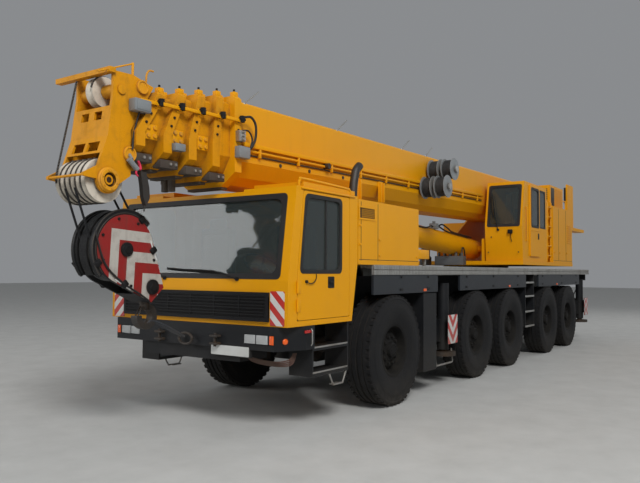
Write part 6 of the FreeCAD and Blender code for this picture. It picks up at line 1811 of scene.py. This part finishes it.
@dataclass
class HookBlock:
    """Striped cheeks, pin covers, clamps, rope guard, sheaves and the hook's fittings."""

    shop: Workshop
    x: float = 3.235
    z: float = 1.86
    lean: float = 42.0
    half: float = 0.15
    radius: float = 0.336
    taper: float = 20.0
    foot: float = 0.107
    drop: float = 0.597
    guard_radius: float = 0.372

    def fit(self, name: str, shape: Shape, finish: Finish, slot: str) -> None:
        """Lean a shape drawn upright about the sheave's pin, and fit it."""
        turn = Matrix.Translation((row(self.x), 0, self.z)) @ Matrix.Rotation(math.radians(self.lean), 4, "Y")
        bmesh.ops.transform(shape.mesh, matrix=turn, verts=shape.mesh.verts[:])
        self.shop.fit(name, shape, "hook_block", finish, slot)

    def outline(self, side: int, proud: float) -> list[Point]:
        """The cheek's outline, round above and tapering below."""
        y = side * (self.half + proud)
        start = -math.radians(self.taper)
        sweep = arc_points((0, y, 0), self.radius, start, math.pi - start, 24)
        return [*sweep, (-self.foot, y, -self.drop), (self.foot, y, -self.drop)]

    def cheeks(self) -> None:
        """The striped plates."""
        finish = Finish("hook_chevrons", (0.30, 0.012, 0.011), 0.5, soiled_and_shaded=0.45, scale=7.0, dust_top=0.3,
                        pattern=Pattern.CHEVRONS, centre=(row(self.x), 0, self.z), pitch=0.284,
                        lean=math.radians(self.lean), second=(0.52, 0.49, 0.44), dirt_and_shade=(0.10, 0.05, 0.035))
        cheeks = Shape()
        for side in (1, -1):
            cheeks.plate(self.outline(side, -0.0005), (0, side * 0.006, 0))
        self.fit("hook_cheeks", cheeks, finish, "hook_paint")

    def hardware(self) -> None:
        """Pin covers, bolts, clamps and edge marks."""
        dark, marks = Shape(), Shape()
        for side in (1, -1):
            face = side * (self.half + 0.005)
            for u, v, r in ((0.0, 0.0, 0.068), (0.0, -0.49, 0.075)):
                dark.lathe([(0, 0.034), (r * 0.5, 0.034), (r * 0.55, 0.026), (r, 0.02), (r, 0), (0, 0)],
                           (u, face, v), (0, side, 0), 28)
            for u, v in ((0.27, 0.10), (-0.27, 0.10), (0.19, -0.30), (-0.19, -0.30), (0.12, 0.28),
                         (-0.12, 0.28)):
                dark.bolts([(u, face, v)], (0, side, 0), 0.014, 0.012)
            clamp = beside(side, self.half - 0.02, self.half + 0.028)
            for u, v in ((-0.245, -0.22), (0.235, -0.235), (-0.335, 0.10), (0.335, 0.12)):
                dark.block(near(u, 0.035), clamp, near(v, 0.03), 0.008)
            for way in (1, -1):
                marks.rod((way * 0.285, face, -0.125), (way * 0.215, face, -0.325), 0.009, 8)
        self.fit("hook_block_hardware", dark, BLACK, "hook_steel")
        self.fit("hook_block_marks", marks, WHITE, "hook_paint")
        foot = Shape().block((-0.085, 0.085), (-0.125, 0.125), (-0.600, -0.50), 0.012)
        self.fit("hook_crosshead", foot, STEEL, "hook_steel")
        edges = Shape()
        for side in (1, -1):
            middle = (0, side * (self.half + 0.001), 0)
            for radius, thick in ((0.386, 0.008), (0.350, 0.006)):
                edges.pipe(arc_points(middle, radius, math.radians(2), math.radians(178), 28), thick)
        self.fit("rope_guard_edges", edges, STEEL, "hook_steel")

    def sheaves(self) -> None:
        """Grooved sheaves between the cheeks, just clear of the plates."""
        packs = Shape()
        for number in range(3):
            y = -0.078 + 0.078 * number
            profile = [(0.10, -0.030), (0.3015, -0.030), (0.3065, -0.024), (0.288, -0.006), (0.288, 0.006),
                       (0.3065, 0.024), (0.3015, 0.030), (0.10, 0.030), (0.10, -0.030)]
            packs.lathe(profile, (0, y, 0), (0, 1, 0), 48)
        self.fit("hook_sheaves", packs, IRON, "sheave_nylon")

    def guard(self) -> None:
        """Rope guard bent over the sheaves, with slots for the rope."""
        band = Shape()
        route = arc_points((0, 0, 0), self.guard_radius, math.radians(1), math.radians(179), 30)
        for low, high in ((-0.148, -0.088), (-0.052, 0.052), (0.088, 0.148)):
            for start, end in zip(route, route[1:]):
                ahead = (end - start).normalized()
                out = ahead.cross(Vector((0, 1, 0))) * 0.008
                corners = [start - out + Vector((0, low, 0)), end - out + Vector((0, low, 0)),
                           end - out + Vector((0, high, 0)), start - out + Vector((0, high, 0))]
                band.plate(corners, out * 2)
        self.fit("rope_guard_band", band, BLACK, "hook_steel")

    def rigging(self) -> None:
        """Cable down the block's side, the hook's latch and the strap that ties it back."""
        out = self.half + 0.020
        stops = [(0.16, out - 0.004, 0.36), (0.21, out + 0.002, 0.28), (0.285, out, 0.05), (0.25, out, -0.20),
                 (0.17, out, -0.42), (0.12, out - 0.010, -0.57)]
        cable = Shape().pipe(smooth_route(stops), 0.009)
        self.fit("hook_block_cable", cable, SEAL, "trim_black")
        swivel = Vector((row(2.867), 0, 1.4513))
        latch = Shape()
        bowl = swivel + Vector((0, 0, -0.256))
        for y in (-0.02, 0.02):
            latch.rod(bowl + Vector((0.035, y, 0.10)), bowl + Vector((0.100, y, 0.005)), 0.007)
        latch.lathe([(0.052, -0.03), (0.075, -0.03), (0.075, 0.03), (0.052, 0.03), (0.052, -0.03)],
                    swivel + Vector((0, 0, -0.075)), (0, 0, 1), 24)
        self.shop.fit("hook_latch", latch, "hook", STEEL, "hook_steel")
        strap = Shape()
        for y in (-0.028, 0.028):
            near_hook = [bowl + Vector((-0.02, y, -0.075)), bowl + Vector((-0.07, y * 1.3, -0.045))]
            to_bumper = placed([(2.62, y * 1.5, 1.09), (2.45, y * 1.4, 1.01), (2.335, y, 0.955)])
            strap.pipe(smooth_route([*near_hook, *to_bumper]), 0.012)
        self.shop.fit("hook_strap", strap, "hook", CLOTH, "seat_cloth")

    def build(self) -> None:
        """Fit the block."""
        self.cheeks()
        self.hardware()
        self.sheaves()
        self.guard()
        self.rigging()


@dataclass
class Studio:
    """Pale floor, soft lamps and the camera at the photo's place."""

    lens: float = 37.58
    place: Colour = (10.8735, 5.293, 1.665)
    yaw: float = 34.24
    pitch: float = 2.538
    roll: float = 0.373

    def floor(self) -> None:
        """A plain pale floor that isn't part of the machine."""
        mesh = bmesh.new()
        bmesh.ops.create_grid(mesh, x_segments=1, y_segments=1, size=70.0)
        data = bpy.data.meshes.new("studio_floor")
        mesh.to_mesh(data)
        mesh.free()
        ground = bpy.data.objects.new("studio_floor", data)
        bpy.context.scene.collection.objects.link(ground)
        data.materials.append(Finish("pale_floor", (0.62, 0.62, 0.60), 0.9, soiled_and_shaded=0.05, dust_top=0.01,
                                     dirt_and_shade=(0.5, 0.5, 0.48)).build())

    def lamps(self) -> None:
        """Sky, key, fill and rim light."""
        world = bpy.data.worlds.new("studio_sky")
        bpy.context.scene.world = world
        world.use_nodes = True
        sky = world.node_tree.nodes["Background"]
        sky.inputs["Color"].default_value = (0.93, 0.96, 1.0, 1.0)
        sky.inputs["Strength"].default_value = 0.27
        bpy.context.scene.view_settings.view_transform = "Standard"
        for name, where, power, size in (
            ("key_light", (15.0, 13.0, 15.0), 2900.0, 6.0),
            ("fill_light", (18.3, -15.4, 7.5), 950.0, 9.0),
            ("back_light", (-16.0, 6.0, 11.0), 420.0, 10.0),
        ):
            data = bpy.data.lights.new(name, "AREA")
            data.energy = power
            data.size = size
            lamp = bpy.data.objects.new(name, data)
            bpy.context.scene.collection.objects.link(lamp)
            lamp.location = where
            way = Vector((0, 0, 1.5)) - Vector(where)
            lamp.rotation_euler = way.to_track_quat("-Z", "Y").to_euler()

    def camera(self) -> None:
        """The camera, from the photo's own place and angle."""
        yaw, pitch, roll = (math.radians(a) for a in (self.yaw, self.pitch, self.roll))
        ahead = Vector((-math.cos(yaw) * math.cos(pitch), -math.sin(yaw) * math.cos(pitch), math.sin(pitch)))
        right = ahead.cross(Vector((0, 0, 1))).normalized()
        above = right.cross(ahead)
        level, upright = right, above
        right = level * math.cos(roll) + upright * math.sin(roll)
        above = upright * math.cos(roll) - level * math.sin(roll)
        data = bpy.data.cameras.new("photo_camera")
        data.lens = self.lens
        data.sensor_width = 36.0
        data.clip_end = 400.0
        camera = bpy.data.objects.new("photo_camera", data)
        bpy.context.scene.collection.objects.link(camera)
        turn = Matrix((right, above, -ahead)).transposed().to_4x4()
        camera.matrix_world = Matrix.Translation(self.place) @ turn
        bpy.context.scene.camera = camera

    def build(self) -> None:
        """Set up the studio."""
        self.floor()
        self.lamps()
        self.camera()


def main() -> None:
    """Dress the frame, fit every piece and set up the studio."""
    logging.basicConfig(level=logging.INFO, format="%(name)s: %(message)s")
    shop = Workshop()
    boom = Boom(shop)
    assemblies = (FramePaint(shop), Wheels(shop), DeckEdge(shop), DriverCab(shop), FrontEnd(shop),
                  RearEnd(shop), EngineHood(shop), OutriggerTrim(shop), Upper(shop), boom,
                  Collars(shop, boom), BoomHead(shop), HookBlock(shop))
    for assembly in assemblies:
        assembly.build()
        LOG.info("%s fitted, %d pieces so far", type(assembly).__name__, shop.count)
    Studio().build()


if __name__ == "__main__":
    main()
